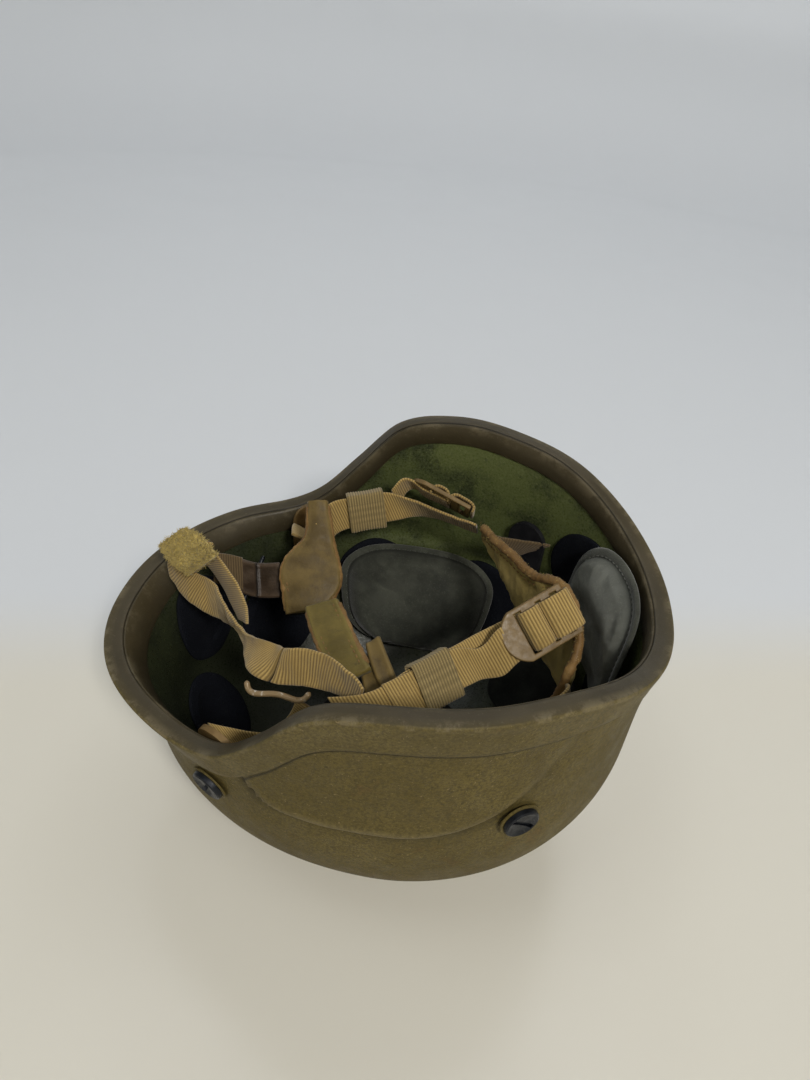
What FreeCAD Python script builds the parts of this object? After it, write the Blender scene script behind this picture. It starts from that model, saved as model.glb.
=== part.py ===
"""Protective helmet with a rubber edge trim, pad lining and webbing harness.

The helmet lies upside down on its crown.  Millimetres, +Z out of the opening, -X towards the
brow, +X towards the nape, +Y towards the wearer's left.  The origin is on the floor, in the
middle of the edge trim's length and width.
"""
import FreeCAD, Part
import math
import os
from FreeCAD import Matrix, Placement, Rotation, Vector

doc = FreeCAD.newDocument("helmet")

# ---------------------------------------------------------------- driving dimensions

SIZES = [
    ("total_length", 284.0),       # brow to nape, over the edge trim
    ("total_width", 236.0),        # over the ear bulges
    ("wall", 8.0),                 # laminate thickness
    ("trim_wall", 1.4),            # rubber thickness
    ("trim_inner_flange", 11.5),
    ("trim_outer_flange", 12.0),
    ("trim_ear_flange", 20.0),     # outer flange over the ears
    ("centre_shift", 15.0),        # widest section, behind the middle
    ("dome_height", 105.0),        # crown to where the wall stands upright
    ("brow_flare", 22.0),
    ("nape_flare", 3.5),
    ("side_flare", 3.5),
    ("flare_depth", 40.0),
    ("ear_bulge", 4.6),
    ("ear_ledge", 110.0),          # height of the step under the ear bulge
    ("brow_height", 119.0),
    ("temple_height", 126.0),
    ("ear_height", 190.0),
    ("nape_height", 167.0),
    ("crown_flat", 0.13),          # share of the plan that is flat at the crown
    ("bolt_front_x", -61.0),
    ("bolt_front_z", 99.0),
    ("bolt_rear_x", 80.0),
    ("bolt_rear_z", 116.0),
    ("bolt_radius", 2.6),
    ("bolt_hole_radius", 2.9),
    ("bolt_length", 15.0),
    ("screw_head_radius", 8.5),
    ("screw_head_height", 2.6),
    ("screw_dish_depth", 1.2),
    ("screw_slot_width", 2.0),
    ("washer_radius", 10.0),
    ("washer_wall", 0.8),
    ("post_radius", 6.5),
    ("post_height", 2.0),
    ("tab_width", 24.0),
    ("tab_reach", 30.0),           # bolt to the tab's free end
    ("webbing_width", 20.0),
    ("webbing_wall", 1.6),
    ("leather_wall", 3.0),
    ("buckle_length", 38.0),
    ("buckle_width", 26.0),
    ("buckle_wall", 2.6),
    ("buckle_slot_length", 21.0),
    ("keeper_length", 21.0),
    ("keeper_width", 24.0),
    ("keeper_height", 8.0),
    ("keeper_wall", 1.2),
    ("disc_radius", 25.0),
    ("disc_wall", 1.2),
    ("pad_wall", 15.0),
    ("rail_radius", 1.4),
    ("rail_length", 28.0),
]

sheet = doc.addObject("Spreadsheet::Sheet", "Sizes")
for row, (alias, value) in enumerate(SIZES, start=1):
    sheet.set("A%d" % row, alias)
    sheet.set("B%d" % row, repr(value))
    sheet.setAlias("B%d" % row, alias)
doc.recompute()


def size(alias):
    """The value of a spreadsheet cell."""
    return float(sheet.get(alias))


LENGTH = size("total_length") - 2 * size("trim_wall")
WIDTH = size("total_width") - 2 * size("trim_wall")
WALL = size("wall")
RUBBER = size("trim_wall")
SHIFT = size("centre_shift")
DOME = size("dome_height")
WEB = size("webbing_wall")
LEATHER = size("leather_wall")
nodes = {}


def keep(name, obj):
    """Register a document object as the sub-part of this name."""
    obj.Label = name
    nodes[name] = obj
    return obj


def feature(name, shape):
    """A sub-part whose shape is set directly."""
    obj = doc.addObject("Part::Feature", name)
    obj.Shape = shape
    return keep(name, obj)


def group(name, shapes):
    """Several separate solids of one kind as one sub-part."""
    return feature(name, Part.Compound(shapes))


# ---------------------------------------------------------------- the bowl's surface

PLAN_FRONT, PLAN_REAR = 2.17, 2.06         # superellipse powers of the plan
ARCH_FRONT, ARCH_REAR, ARCH_SIDE = 2.35, 2.2, 2.3
RING_POINTS = 40
EAR_FROM, EAR_FULL, EAR_EASE, EAR_TO = -80.0, -30.0, 30.0, 110.0


def ease(t):
    """Smooth step from 0 to 1."""
    t = min(max(t, 0.0), 1.0)
    return t * t * (3 - 2 * t)


def rim_outline():
    """Side view of the shell's rim: X and height, brow to nape."""
    half = LENGTH / 2
    brow, temple = size("brow_height"), size("temple_height")
    ear, nape = size("ear_height"), size("nape_height")
    return [
        (-half - 20, brow - 4), (-half, brow), (-0.74 * half, temple - 2), (-0.53 * half, temple),
        (-0.39 * half, temple + 8), (-0.25 * half, temple + 29), (-0.085 * half, ear - 9),
        (0.14 * half, ear), (0.42 * half, ear + 0.5), (0.7 * half, ear - 3.5), (half, nape),
        (half + 20, nape - 16),
    ]


def rim_height(x):
    """Height of the shell's rim at X: a smooth curve through the outline's points."""
    points = rim_outline()
    k = max(i for i in range(1, len(points) - 2) if points[i][0] <= x or i == 1)
    (x0, z0), (x1, z1), (x2, z2), (x3, z3) = points[k - 1:k + 3]
    slope_1, slope_2 = (z2 - z0) / (x2 - x0), (z3 - z1) / (x3 - x1)
    t = (x - x1) / (x2 - x1)
    bend = (2 * t ** 3 - 3 * t ** 2 + 1) * z1 + (3 * t ** 2 - 2 * t ** 3) * z2
    return bend + (x2 - x1) * ((t ** 3 - 2 * t ** 2 + t) * slope_1 + (t ** 3 - t ** 2) * slope_2)


def plan_share(angle):
    """Shares of the plan's half-length and half-width at an angle round the bowl."""
    cos, sin = math.cos(angle), math.sin(angle)
    power = PLAN_FRONT if cos < 0 else PLAN_REAR
    return (math.copysign(abs(cos) ** (2 / power), cos), math.copysign(abs(sin) ** (2 / power), sin))


def rim_at(angle):
    """Height of the rim at an angle round the bowl."""
    along = plan_share(angle)[0]
    reach = LENGTH / 2 + (SHIFT if along < 0 else -SHIFT)
    return rim_height(SHIFT + reach * along)


def surface(angle, z, inset, ear_floor=88.0):
    """A point of the bowl's surface at height z, inset from the outer face.

    The ear bulge starts at ear_floor and is full 25 mm higher."""
    along, across = plan_share(angle)
    front = along < 0
    reach = LENGTH / 2 + (SHIFT if front else -SHIFT) - inset
    flare = size("brow_flare") if front else size("nape_flare")
    depth = size("flare_depth")
    rise = min(max((z - rim_at(angle) + depth) / depth, 0), 1) ** 2
    drop = min(max((DOME - z) / (DOME - inset), 0), 1)
    arch = ARCH_FRONT if front else ARCH_REAR
    grow_x = (1 - drop ** arch) ** (1 / arch)
    grow_y = (1 - drop ** ARCH_SIDE) ** (1 / ARCH_SIDE)
    if drop > 0.9999:
        grow_x = grow_y = size("crown_flat")
    x = SHIFT + ((reach - flare) * grow_x + flare * rise) * along
    bulge = size("ear_bulge") * ease((x - EAR_FROM) / (EAR_FULL - EAR_FROM))
    bulge *= ease((EAR_TO - x) / (EAR_TO - EAR_EASE)) * ease((z - ear_floor) / 25)
    half = WIDTH / 2 - inset - size("ear_bulge") - size("side_flare")
    y = (half * grow_y + size("side_flare") * rise) * across
    return Vector(x, y + math.copysign(bulge * abs(across) ** 0.5, across), z)


RING_ANGLES = [2 * math.pi * (k + 0.5) / RING_POINTS for k in range(RING_POINTS)]


def closed_curve(points):
    """A closed smooth edge through points."""
    curve = Part.BSplineCurve()
    curve.interpolate(points, True)
    return curve.toShape()


def open_curve(points):
    """An open smooth edge through points."""
    curve = Part.BSplineCurve()
    curve.interpolate(points)
    return curve.toShape()


def bowl(inset, ear_floor=88.0, top=206.0):
    """A solid that fills the bowl up to a flat top, its surface inset from the outer face."""
    steps = [0, 0.015, 0.055, 0.13, 0.25, 0.41, 0.6, 0.8, 1.0]
    heights = [inset + (DOME - inset) * share for share in steps]
    heights += [DOME + (top - DOME) * share for share in (0.1, 0.2, 0.32, 0.45, 0.6, 0.78, 1.0)]
    rings = [[surface(a, z, inset, ear_floor) for a in RING_ANGLES] for z in heights]
    return Part.makeLoft([Part.Wire(closed_curve(ring)) for ring in rings], True, False)


def side_prism(points, height):
    """Everything between an XZ outline and a flat top or bottom, over the whole width."""
    reach = 200
    curve = open_curve([Vector(x, -reach, z) for x, z in points])
    first, last = points[0], points[-1]
    corners = [Vector(last[0], -reach, last[1]), Vector(last[0], -reach, height)]
    corners += [Vector(first[0], -reach, height), Vector(first[0], -reach, first[1])]
    wire = Part.Wire([curve] + Part.makePolygon(corners).Edges)
    return Part.Face(wire).extrude(Vector(0, 2 * reach, 0))


def surface_at(heading, z, inset):
    """The bowl's surface point that lies at a compass heading from the bowl's axis, in degrees."""
    target = math.radians(heading)
    low, high = target - 0.6, target + 0.6
    for _ in range(30):
        middle = (low + high) / 2
        point = surface(middle, z, inset)
        ahead = math.atan2(point.y, point.x - SHIFT) - target
        ahead = (ahead + math.pi) % (2 * math.pi) - math.pi
        low, high = (middle, high) if ahead < 0 else (low, middle)
    return surface((low + high) / 2, z, inset)


def outward_at(heading, z, inset):
    """The direction straight out of the bowl at a heading and height."""
    around = surface_at(heading + 2, z, inset) - surface_at(heading - 2, z, inset)
    upward = surface_at(heading, z + 2, inset) - surface_at(heading, z - 2, inset)
    return around.cross(upward).normalize()


def axes_placement(origin, x_axis, z_axis):
    """A placement at origin with the given X direction and nearly the given Z direction."""
    x_axis = Vector(*x_axis).normalize()
    y_axis = Vector(*z_axis).cross(x_axis).normalize()
    z_axis = x_axis.cross(y_axis)
    origin = Vector(*origin)
    return Placement(Matrix(
        x_axis.x, y_axis.x, z_axis.x, origin.x, x_axis.y, y_axis.y, z_axis.y, origin.y,
        x_axis.z, y_axis.z, z_axis.z, origin.z, 0, 0, 0, 1))


def wall_placement(heading, z, inset):
    """A placement on the bowl's surface: local Z out of the bowl, local Y up the wall."""
    out = outward_at(heading, z, inset)
    return axes_placement(surface_at(heading, z, inset), Vector(0, 0, 1).cross(out), out)


def bolt_heading(x, side, z):
    """The heading at which the outer face passes a bolt's X."""
    low, high = 0.0, 180.0
    for _ in range(30):
        middle = (low + high) / 2
        low, high = (middle, high) if surface_at(middle, z, 0).x > x else (low, middle)
    return low * side


BOLT_PLACES = []
for end in ("front", "rear"):
    for bolt_side in (-1, 1):
        bolt_x, bolt_z = size("bolt_%s_x" % end), size("bolt_%s_z" % end)
        BOLT_PLACES.append(wall_placement(bolt_heading(bolt_x, bolt_side, bolt_z), bolt_z, 0))

# ---------------------------------------------------------------- shell

LEDGE = size("ear_ledge")
ledge_outline = [
    (-62, LEDGE + 60), (-46, LEDGE + 22), (-34, LEDGE + 3), (-12, LEDGE - 1), (12, LEDGE),
    (36, LEDGE + 1.5), (58, LEDGE + 7), (76, LEDGE + 19), (90, LEDGE + 45), (102, LEDGE + 84),
]
rim_line = [(x, rim_height(x)) for x in range(-158, 160, 12)]
FLOOR, CEILING = -20.0, 230.0
NO_EAR = 1000.0                            # an ear floor above the whole bowl
outside = bowl(0, NO_EAR).fuse(bowl(0, LEDGE - 30).common(side_prism(ledge_outline, CEILING)))
shell_shape = outside.cut(bowl(WALL)).common(side_prism(rim_line, FLOOR))
for place in BOLT_PLACES:
    drill = Part.makeCylinder(size("bolt_hole_radius"), 40, Vector(0, 0, -20))
    drill.Placement = place
    shell_shape = shell_shape.cut(drill)
feature("shell", shell_shape)

# ---------------------------------------------------------------- rubber edge trim


def trim_rails():
    """Closed curves along the trim's corners, in order round its U section."""
    inner, top = size("trim_inner_flange"), RUBBER
    shallow, deep = size("trim_outer_flange"), size("trim_ear_flange")
    rows = []
    for angle in RING_ANGLES:
        rim = rim_at(angle)
        x = surface(angle, rim, 0).x
        outer = shallow + (deep - shallow) * ease((x + 70) / 60) * ease((150 - x) / 70)
        section = [(-outer, -RUBBER), (-outer / 2, -RUBBER), (top, -RUBBER), (top, WALL + RUBBER),
                   (-inner / 2, WALL + RUBBER), (-inner, WALL + RUBBER), (-inner, WALL), (0, WALL),
                   (0, 0), (-outer / 2, 0), (-outer, 0)]
        rows.append([surface(angle, rim + up, inset) for up, inset in section])
    return [closed_curve(list(rail)) for rail in zip(*rows)]


rails = trim_rails()
trim_faces = [Part.makeRuledSurface(a, b) for a, b in zip(rails, rails[1:] + rails[:1])]
trim_solid = Part.Solid(Part.makeShell(trim_faces))
if trim_solid.Volume < 0:
    trim_solid.reverse()
feature("edge_trim", trim_solid)

# ---------------------------------------------------------------- fasteners


def body_sketch(body, name, role, rise=0.0):
    """A sketch on one of the body's own origin planes, moved along that plane's normal."""
    sketch = body.newObject("Sketcher::SketchObject", name)
    plane = [p for p in body.Origin.OriginFeatures if p.Role == role][0]
    sketch.AttachmentSupport = [(plane, "")]
    sketch.MapMode = "FlatFace"
    sketch.AttachmentOffset = Placement(Vector(0, 0, rise), Rotation())
    return sketch


def closed_lines(sketch, points):
    """A closed run of straight lines in a sketch."""
    for start, end in zip(points, points[1:] + points[:1]):
        sketch.addGeometry(Part.LineSegment(Vector(*start, 0), Vector(*end, 0)))


def rounded_slot(sketch, x_low, x_high, half):
    """A closed outline with straight sides along X and a half circle at each end."""
    sketch.addGeometry(Part.LineSegment(Vector(x_low, -half, 0), Vector(x_high, -half, 0)))
    right = Part.Circle(Vector(x_high, 0, 0), Vector(0, 0, 1), half)
    sketch.addGeometry(Part.ArcOfCircle(right, -math.pi / 2, math.pi / 2))
    sketch.addGeometry(Part.LineSegment(Vector(x_high, half, 0), Vector(x_low, half, 0)))
    left = Part.Circle(Vector(x_low, 0, 0), Vector(0, 0, 1), half)
    sketch.addGeometry(Part.ArcOfCircle(left, math.pi / 2, 3 * math.pi / 2))


def pad_up(body, profile, name, alias):
    """Pad a sketch by a spreadsheet length."""
    pad = body.newObject("PartDesign::Pad", name)
    pad.Profile = profile
    pad.setExpression("Length", "Sizes." + alias)
    doc.recompute()
    return pad


def pocket(body, profile, name, length):
    """Cut a sketch both ways through a body and check that it removed something."""
    before = body.Shape.Volume
    cut = body.newObject("PartDesign::Pocket", name)
    cut.Profile = profile
    cut.Midplane = True
    cut.Length = length
    doc.recompute()
    if not body.Shape.Volume < before - 0.1:
        raise RuntimeError(name + " removed nothing")
    return cut


def screw_body(name):
    """A dished, slotted screw whose head stands on the XY plane and shank goes down."""
    body = doc.addObject("PartDesign::Body", name)
    profile = body_sketch(body, name + "_profile", "XZ_Plane")
    head, height = size("screw_head_radius"), size("screw_head_height")
    dish, shank = size("screw_dish_depth"), size("bolt_radius")
    closed_lines(profile, [
        (0, height - dish), (0.6 * head, height - 0.7 * dish), (0.88 * head, height),
        (0.97 * head, 0.8 * height), (head, 0.25 * height), (head, 0), (shank, 0),
        (shank, -size("bolt_length")), (0, -size("bolt_length")),
    ])
    turned = body.newObject("PartDesign::Revolution", name + "_turned")
    turned.Profile = profile
    turned.ReferenceAxis = (profile, ["V_Axis"])
    turned.Angle = 360
    doc.recompute()
    slot = body_sketch(body, name + "_slot_outline", "XY_Plane", height)
    reach, half = 0.8 * head, size("screw_slot_width") / 2
    closed_lines(slot, [(-reach, -half), (reach, -half), (reach, half), (-reach, half)])
    pocket(body, slot, name + "_slot", 2 * dish + 1.4)
    return body


def tab_body(name):
    """A leather tab on the inner wall, rounded at both ends, with a hole for its bolt."""
    body = doc.addObject("PartDesign::Body", name)
    outline = body_sketch(body, name + "_outline", "XY_Plane")
    rounded_slot(outline, 0, size("tab_reach") - size("tab_width") / 2, size("tab_width") / 2)
    pad_up(body, outline, name + "_plate", "leather_wall")
    hole = body_sketch(body, name + "_hole_outline", "XY_Plane")
    hole.addGeometry(Part.Circle(Vector(), Vector(0, 0, 1), size("bolt_hole_radius")))
    pocket(body, hole, name + "_hole", 4 * LEATHER)
    return body


def ring_solid(name, outer_alias, wall_alias):
    """A flat ring on the XY plane, bored for the screw, from bound primitives."""
    disc = doc.addObject("Part::Cylinder", name + "_disc")
    disc.setExpression("Radius", "Sizes." + outer_alias)
    disc.setExpression("Height", "Sizes." + wall_alias)
    hole = doc.addObject("Part::Cylinder", name + "_hole")
    hole.setExpression("Radius", "Sizes.bolt_hole_radius")
    hole.setExpression("Height", "Sizes.%s * 3" % wall_alias)
    hole.setExpression("Placement.Base.z", "-Sizes." + wall_alias)
    ring = doc.addObject("Part::Cut", name)
    ring.Base, ring.Tool = disc, hole
    doc.recompute()
    return ring


def placed(shape, placement):
    """A copy of a shape, moved from its own place to another."""
    copy = shape.copy()
    copy.Placement = placement.multiply(shape.Placement)
    return copy


def shifted(place, distance, turn=0.0):
    """A placement moved along its own Z and turned about it, in degrees."""
    return place.multiply(Placement(Vector(0, 0, distance), Rotation(Vector(0, 0, 1), turn)))


screw = screw_body("screw_master")
tab = tab_body("tab_master")
washer = ring_solid("washer_master", "washer_radius", "washer_wall")
post = ring_solid("post_master", "post_radius", "post_height")
SEAT_GAP = 0.05
TAB_GAP = 1.8                              # the flat tab stands off the hollow inner wall
tab_front = -WALL - TAB_GAP - LEATHER
SLOT_TURNS = (65, 20, -35, 50)
washer_top = SEAT_GAP + size("washer_wall")
group("screws", [placed(screw.Shape, shifted(place, washer_top + SEAT_GAP, turn))
                 for place, turn in zip(BOLT_PLACES, SLOT_TURNS)])
group("washers", [placed(washer.Shape, shifted(place, SEAT_GAP)) for place in BOLT_PLACES])
group("anchor_tabs", [placed(tab.Shape, shifted(place, tab_front, 90)) for place in BOLT_PLACES])
group("screw_posts", [placed(post.Shape, shifted(place, tab_front - SEAT_GAP - size("post_height")))
                      for place in BOLT_PLACES])

# ---------------------------------------------------------------- lining: hook discs and pads

DISCS = {                                  # heading round the bowl and height
    "brow_left": (169, 84), "brow_right": (187, 44), "temple_left": (145, 57),
    "temple_right": (215, 57), "side_left_front": (108, 80), "side_left_rear": (68, 78),
    "side_right_front": (252, 80), "side_right_rear": (292, 78), "nape_left": (33, 130),
    "nape": (5, 88), "nape_low": (29, 52),
}
DISC_SAG = 4.4                             # a flat disc touches the hollow wall only at its edge
disc_solids = []
for place_name, (heading, disc_z) in DISCS.items():
    disc = doc.addObject("Part::Cylinder", "disc_" + place_name)
    disc.setExpression("Radius", "Sizes.disc_radius")
    disc.setExpression("Height", "Sizes.disc_wall")
    disc.Placement = shifted(wall_placement(heading, disc_z, WALL), -DISC_SAG - size("disc_wall"))
    disc_solids.append(disc)
doc.recompute()
group("hook_discs", [disc.Shape for disc in disc_solids])
PAD_BACK = WALL + DISC_SAG + size("disc_wall") + 0.7


def wall_pad(name, headings, heights):
    """A cushion that follows the inner wall between two headings and two heights."""
    front = PAD_BACK + size("pad_wall")
    core = (PAD_BACK + front) / 2
    middle_h, half_h = sum(headings) / 2, (headings[1] - headings[0]) / 2
    middle_z, half_z = sum(heights) / 2, (heights[1] - heights[0]) / 2
    wires = []
    for step in (-0.98, -0.85, -0.5, 0, 0.5, 0.85, 0.98):
        heading = middle_h + step * half_h
        tall = half_z * (1 - abs(step) ** 3) ** (1 / 3)
        outline = [(v, PAD_BACK) for v in (-0.85, -0.3, 0.3, 0.85)] + [(1.0, core)]
        outline += [(v, front) for v in (0.8, 0.3, -0.3, -0.8)] + [(-1.0, core)]
        points = [surface_at(heading, middle_z + tall * v, inset) for v, inset in outline]
        wires.append(Part.makePolygon(points + points[:1]))
    return feature(name, Part.makeLoft(wires, True, True))


wall_pad("left_side_pad", (62, 120), (44, 108))
wall_pad("right_side_pad", (240, 298), (44, 108))
wall_pad("rear_pad", (-12, 34), (98, 170))
wall_pad("lower_rear_pad", (8, 50), (38, 80))


def crown_pad_body():
    """The round crown pad: a dished disc turned about the vertical."""
    body = doc.addObject("PartDesign::Body", "crown_pad")
    profile = body_sketch(body, "crown_pad_profile", "XZ_Plane")
    points = [(26, 13.0), (44, 19.0), (51, 26.0), (50, 31.0), (42, 34.0), (0, 35.0), (0, 13.0)]
    closed_lines(profile, points)
    turned = body.newObject("PartDesign::Revolution", "crown_pad_turned")
    turned.Profile = profile
    turned.ReferenceAxis = (profile, ["V_Axis"])
    turned.Angle = 360
    body.Placement.Base = Vector(SHIFT - 2, 0, 0)
    doc.recompute()
    return keep("crown_pad", body)


crown_pad_body()

# ---------------------------------------------------------------- strips of webbing and leather


def strip(stations, wall):
    """A strap: each station is its centre and the full-width vector across it."""
    centres = [Vector(*station[0]) for station in stations]
    rails = [[], [], [], []]
    for k, (_, across) in enumerate(stations):
        before, after = centres[max(k - 1, 0)], centres[min(k + 1, len(centres) - 1)]
        side = Vector(*across)
        normal = (after - before).cross(side).normalize() * (wall / 2)
        for rail, (u, v) in zip(rails, ((-0.5, -1), (0.5, -1), (0.5, 1), (-0.5, 1))):
            rail.append(centres[k] + side * u + normal * v)
    edges = [open_curve(rail) for rail in rails]
    faces = [Part.makeRuledSurface(edges[k], edges[(k + 1) % 4]) for k in range(4)]
    for end in (0, -1):
        corners = [rail[end] for rail in rails]
        faces.append(Part.Face(Part.makePolygon(corners + corners[:1])))
    solid = Part.Solid(Part.makeShell(faces))
    if solid.Volume < 0:
        solid.reverse()
    return solid


def wide(across, width=None):
    """A full-width vector along a direction, as wide as the webbing unless given."""
    return Vector(*across).normalize() * (width or size("webbing_width"))


CHAIN = (-11, 6, 13)                       # across the right adjuster
feature("right_adjuster_strap", strip([
    ((95, 1, 161), wide(CHAIN)), ((78, -12, 155), wide(CHAIN)), ((60, -28, 153), wide(CHAIN)),
    ((41, -48.5, 153), wide(CHAIN)), ((25, -65.8, 153), wide(CHAIN)),
    ((12, -79, 153), wide(CHAIN, 18)), ((-5, -84, 151), wide(CHAIN, 18)),
], WEB))
feature("right_strap_tail", strip([
    ((56, -37, 155.8), wide(CHAIN, 19)), ((50.4, -41.4, 154.8), wide(CHAIN, 19)),
    ((41, -50.6, 154.6), wide(CHAIN, 19)), ((25, -67.9, 154.6), wide(CHAIN, 19)),
    ((17, -76, 155), wide(CHAIN, 19)),
], WEB))
feature("left_adjuster_strap", strip([
    ((-43, 52, 140), wide((-7, -8, 16))), ((-41, 59, 143), wide((-8, -3, 17))),
    ((-34, 66, 145), wide((-9, 1, 18))), ((-29, 67.85, 145.8), wide((-9, 1, 18))),
    ((-24, 69.7, 146.6), wide((-9, 1, 18))), ((-14, 73.4, 148.2), wide((-9, 1, 18))),
    ((-9, 75.25, 149), wide((-9, 1, 18))), ((2, 78, 149), wide((-6, -7, 17))),
    ((26, 76, 147), wide((-2, -13, 15))), ((43, 70, 147), wide((-2, -13, 15))),
], WEB))
feature("left_strap_fold", strip([
    ((-8, 80, 153), wide((-7, -3, 18), 15)), ((-5, 82, 157), wide((-5, -8, 16), 15)),
    ((-1.5, 84, 160), wide((-3, -12, 15), 15)),
], WEB))
feature("right_front_strap", strip([
    ((-59, -82, 116), wide((12, -5, -11))), ((-47, -78, 112), wide((10, -4, -13))),
    ((-35, -77, 113), wide((10, -4, -13))), ((-26, -75, 123), wide((12, -5, -11))),
], WEB))
feature("left_front_strap", strip([
    ((-60, 81, 116), wide((13, 4, -10))), ((-58, 72, 121), wide((14, 3, -9))),
    ((-55, 60, 125), wide((14, 3, -8))),
], WEB))
feature("right_rear_strap", strip([
    ((80, -80, 132), wide((15, 6, -10))), ((86, -68, 138), wide((14, 7, -12))),
    ((92, -52, 140), wide((9, 5, -16))), ((97, -40, 139), wide((4, 3, -19))),
], WEB))
feature("left_rear_strap", strip([
    ((80, 80, 132), wide((14, -4, 12))), ((70, 79, 132), wide((8, -2, 17), 18)),
    ((58, 75, 136), wide((2, 0, 19), 14)), ((49, 71, 142), wide((0, -4, 10), 12)),
], WEB))
feature("chin_strap", strip([
    ((-116, 15, 127), wide((11, -5, 15))), ((-96, 2, 124), wide((6, 4, 18))),
    ((-80, -12, 126), wide((4, -7, 17))), ((-66, -28, 132), wide((10, -13, 12))),
    ((-55, -42, 138), wide((11, -4, 15))), ((-45, -54, 143), wide((12, 8, 13))),
    ((-34, -60, 148), wide((0, 5, 19))), ((-24, -61, 151), wide((0, 4, 19))),
    ((-13, -65, 153), wide((2, 2, 19))), ((-4, -70, 154), wide((2, -3, 19))),
], WEB))
feature("chin_strap_return", strip([
    ((-106, 26, 136), wide((14, -9, 11))), ((-90, 13, 131), wide((12, -10, 12))),
    ((-78, 0, 127), wide((13, -11, 12))), ((-69, -16, 127), wide((9, -13, 11))),
], WEB))
feature("chin_strap_patch", strip([
    ((-117, 16, 148), wide((13, 9, 10), 18)), ((-108, 12, 144), wide((13, 9, 10), 21)),
    ((-98, 7, 140), wide((13, 9, 10), 19)),
], 5.0))
feature("left_chin_link", strip([
    ((-64, 28, 120), wide((-4, 12, 16))), ((-76, 28, 117), wide((-4, 12, 16))),
    ((-88, 30, 117), wide((-4, 12, 16))), ((-101, 30, 118), wide((-3, 13, 15), 17)),
], 2.4))
feature("left_yoke", strip([
    ((-47, 60, 153), wide((16, 3, 2), 18)), ((-44, 50, 144), wide((19, 4, 3), 20)),
    ((-43, 42, 138), wide((19, 3, 1), 20)), ((-45, 31, 132), wide((32, 4, 2), 31)),
    ((-42, 17, 122), wide((30, 5, 4), 31)), ((-44, 7, 114), wide((10, 3, 3), 18)),
], 5.0))
feature("right_yoke", strip([
    ((-27, -21, 153), wide((13, 5, 4), 17)), ((-21, -32, 152), wide((13, 5, 4), 18)),
    ((-14, -44, 151), wide((12, 5, 4), 18)), ((-7, -54, 151), wide((10, 4, 5), 17)),
    ((-2, -61, 151), wide((9, 4, 5), 16)),
], 4.0))
group("right_yoke_flaps", [
    strip([((2, -42, 153), wide((5, 3, 3), 12)), ((8, -52, 151), wide((7, 3, 3), 14)),
           ((14, -60, 147), wide((8, 3, 3), 14))], 2.2),
    strip([((1, -48, 147), wide((5, 3, 3), 12)), ((5, -58, 145), wide((7, 3, 3), 14)),
           ((9, -66, 141), wide((8, 3, 3), 14))], 2.2),
])


def nape_band():
    """The padded nape band: a curved upright strip, deepest behind the head."""
    tops = [(46, 68, 151), (54, 51, 155), (65, 35, 158), (77, 20, 160), (84, 13, 165),
            (91, 3, 167), (97, -11, 161), (98, -24, 152), (95, -32, 147)]
    drops = [11, 15, 27, 42, 52, 54, 50, 44, 34]
    stations = []
    for (x, y, z), drop in zip(tops, drops):
        across = Vector(2, 0, -drop)
        stations.append(((x + 1, y, z - drop / 2), across))
    return strip(stations, LEATHER)


feature("nape_band", nape_band())

# ---------------------------------------------------------------- buckles, keepers and rails


def buckle_body(name):
    """A ladder-lock frame in the XY plane: hinge end at X 0, rounded lift tab at the far end."""
    length, half = size("buckle_length"), size("buckle_width") / 2
    slot = size("buckle_slot_length") / 2
    body = doc.addObject("PartDesign::Body", name)
    outline = body_sketch(body, name + "_outline", "XY_Plane")
    corner = 9.0
    outline.addGeometry(Part.LineSegment(Vector(0, -half, 0), Vector(length - corner, -half, 0)))
    tip = [Vector(length - corner, -half, 0), Vector(length, 0, 0), Vector(length - corner, half, 0)]
    outline.addGeometry(Part.Arc(*tip))
    outline.addGeometry(Part.LineSegment(tip[2], Vector(0, half, 0)))
    outline.addGeometry(Part.LineSegment(Vector(0, half, 0), Vector(0, -half, 0)))
    pad_up(body, outline, name + "_plate", "buckle_wall")
    for number, (low, high) in enumerate(((3, 7), (12, 15), (23, 27)), start=1):
        cut = body_sketch(body, "%s_slot_%d_outline" % (name, number), "XY_Plane")
        closed_lines(cut, [(low, -slot), (high, -slot), (high, slot), (low, slot)])
        pocket(body, cut, "%s_slot_%d" % (name, number), 4 * size("buckle_wall"))
    return body


BUCKLES = {                                # hinge end, direction to the tab, and face normal
    "right": ((91, -12, 171), (-28, -21, -12), (0.06, -0.79, 0.61)),
    "left": ((37, 76, 152), (-33, 9, 8), (0.34, 0.69, 0.64)),
}
THREADING = [                              # webbing over the bars, in the buckle's own frame
    (1.5, 4.2), (7.0, 4.6), (13.0, 4.4), (19.0, 4.4), (23.5, 3.0), (24.8, 0.5), (24.0, -2.0),
]
for side_name, (hinge_end, to_tab, face) in BUCKLES.items():
    buckle = buckle_body(side_name + "_buckle")
    buckle.Placement = axes_placement(hinge_end, to_tab, face)
    keep(side_name + "_buckle", buckle)
    turn = buckle.Placement.Rotation
    base = buckle.Placement.Base
    threaded = [(base + turn * Vector(x, 0, z), turn * Vector(0, 19.5, 0)) for x, z in THREADING]
    feature(side_name + "_buckle_webbing", strip(threaded, WEB))


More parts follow.
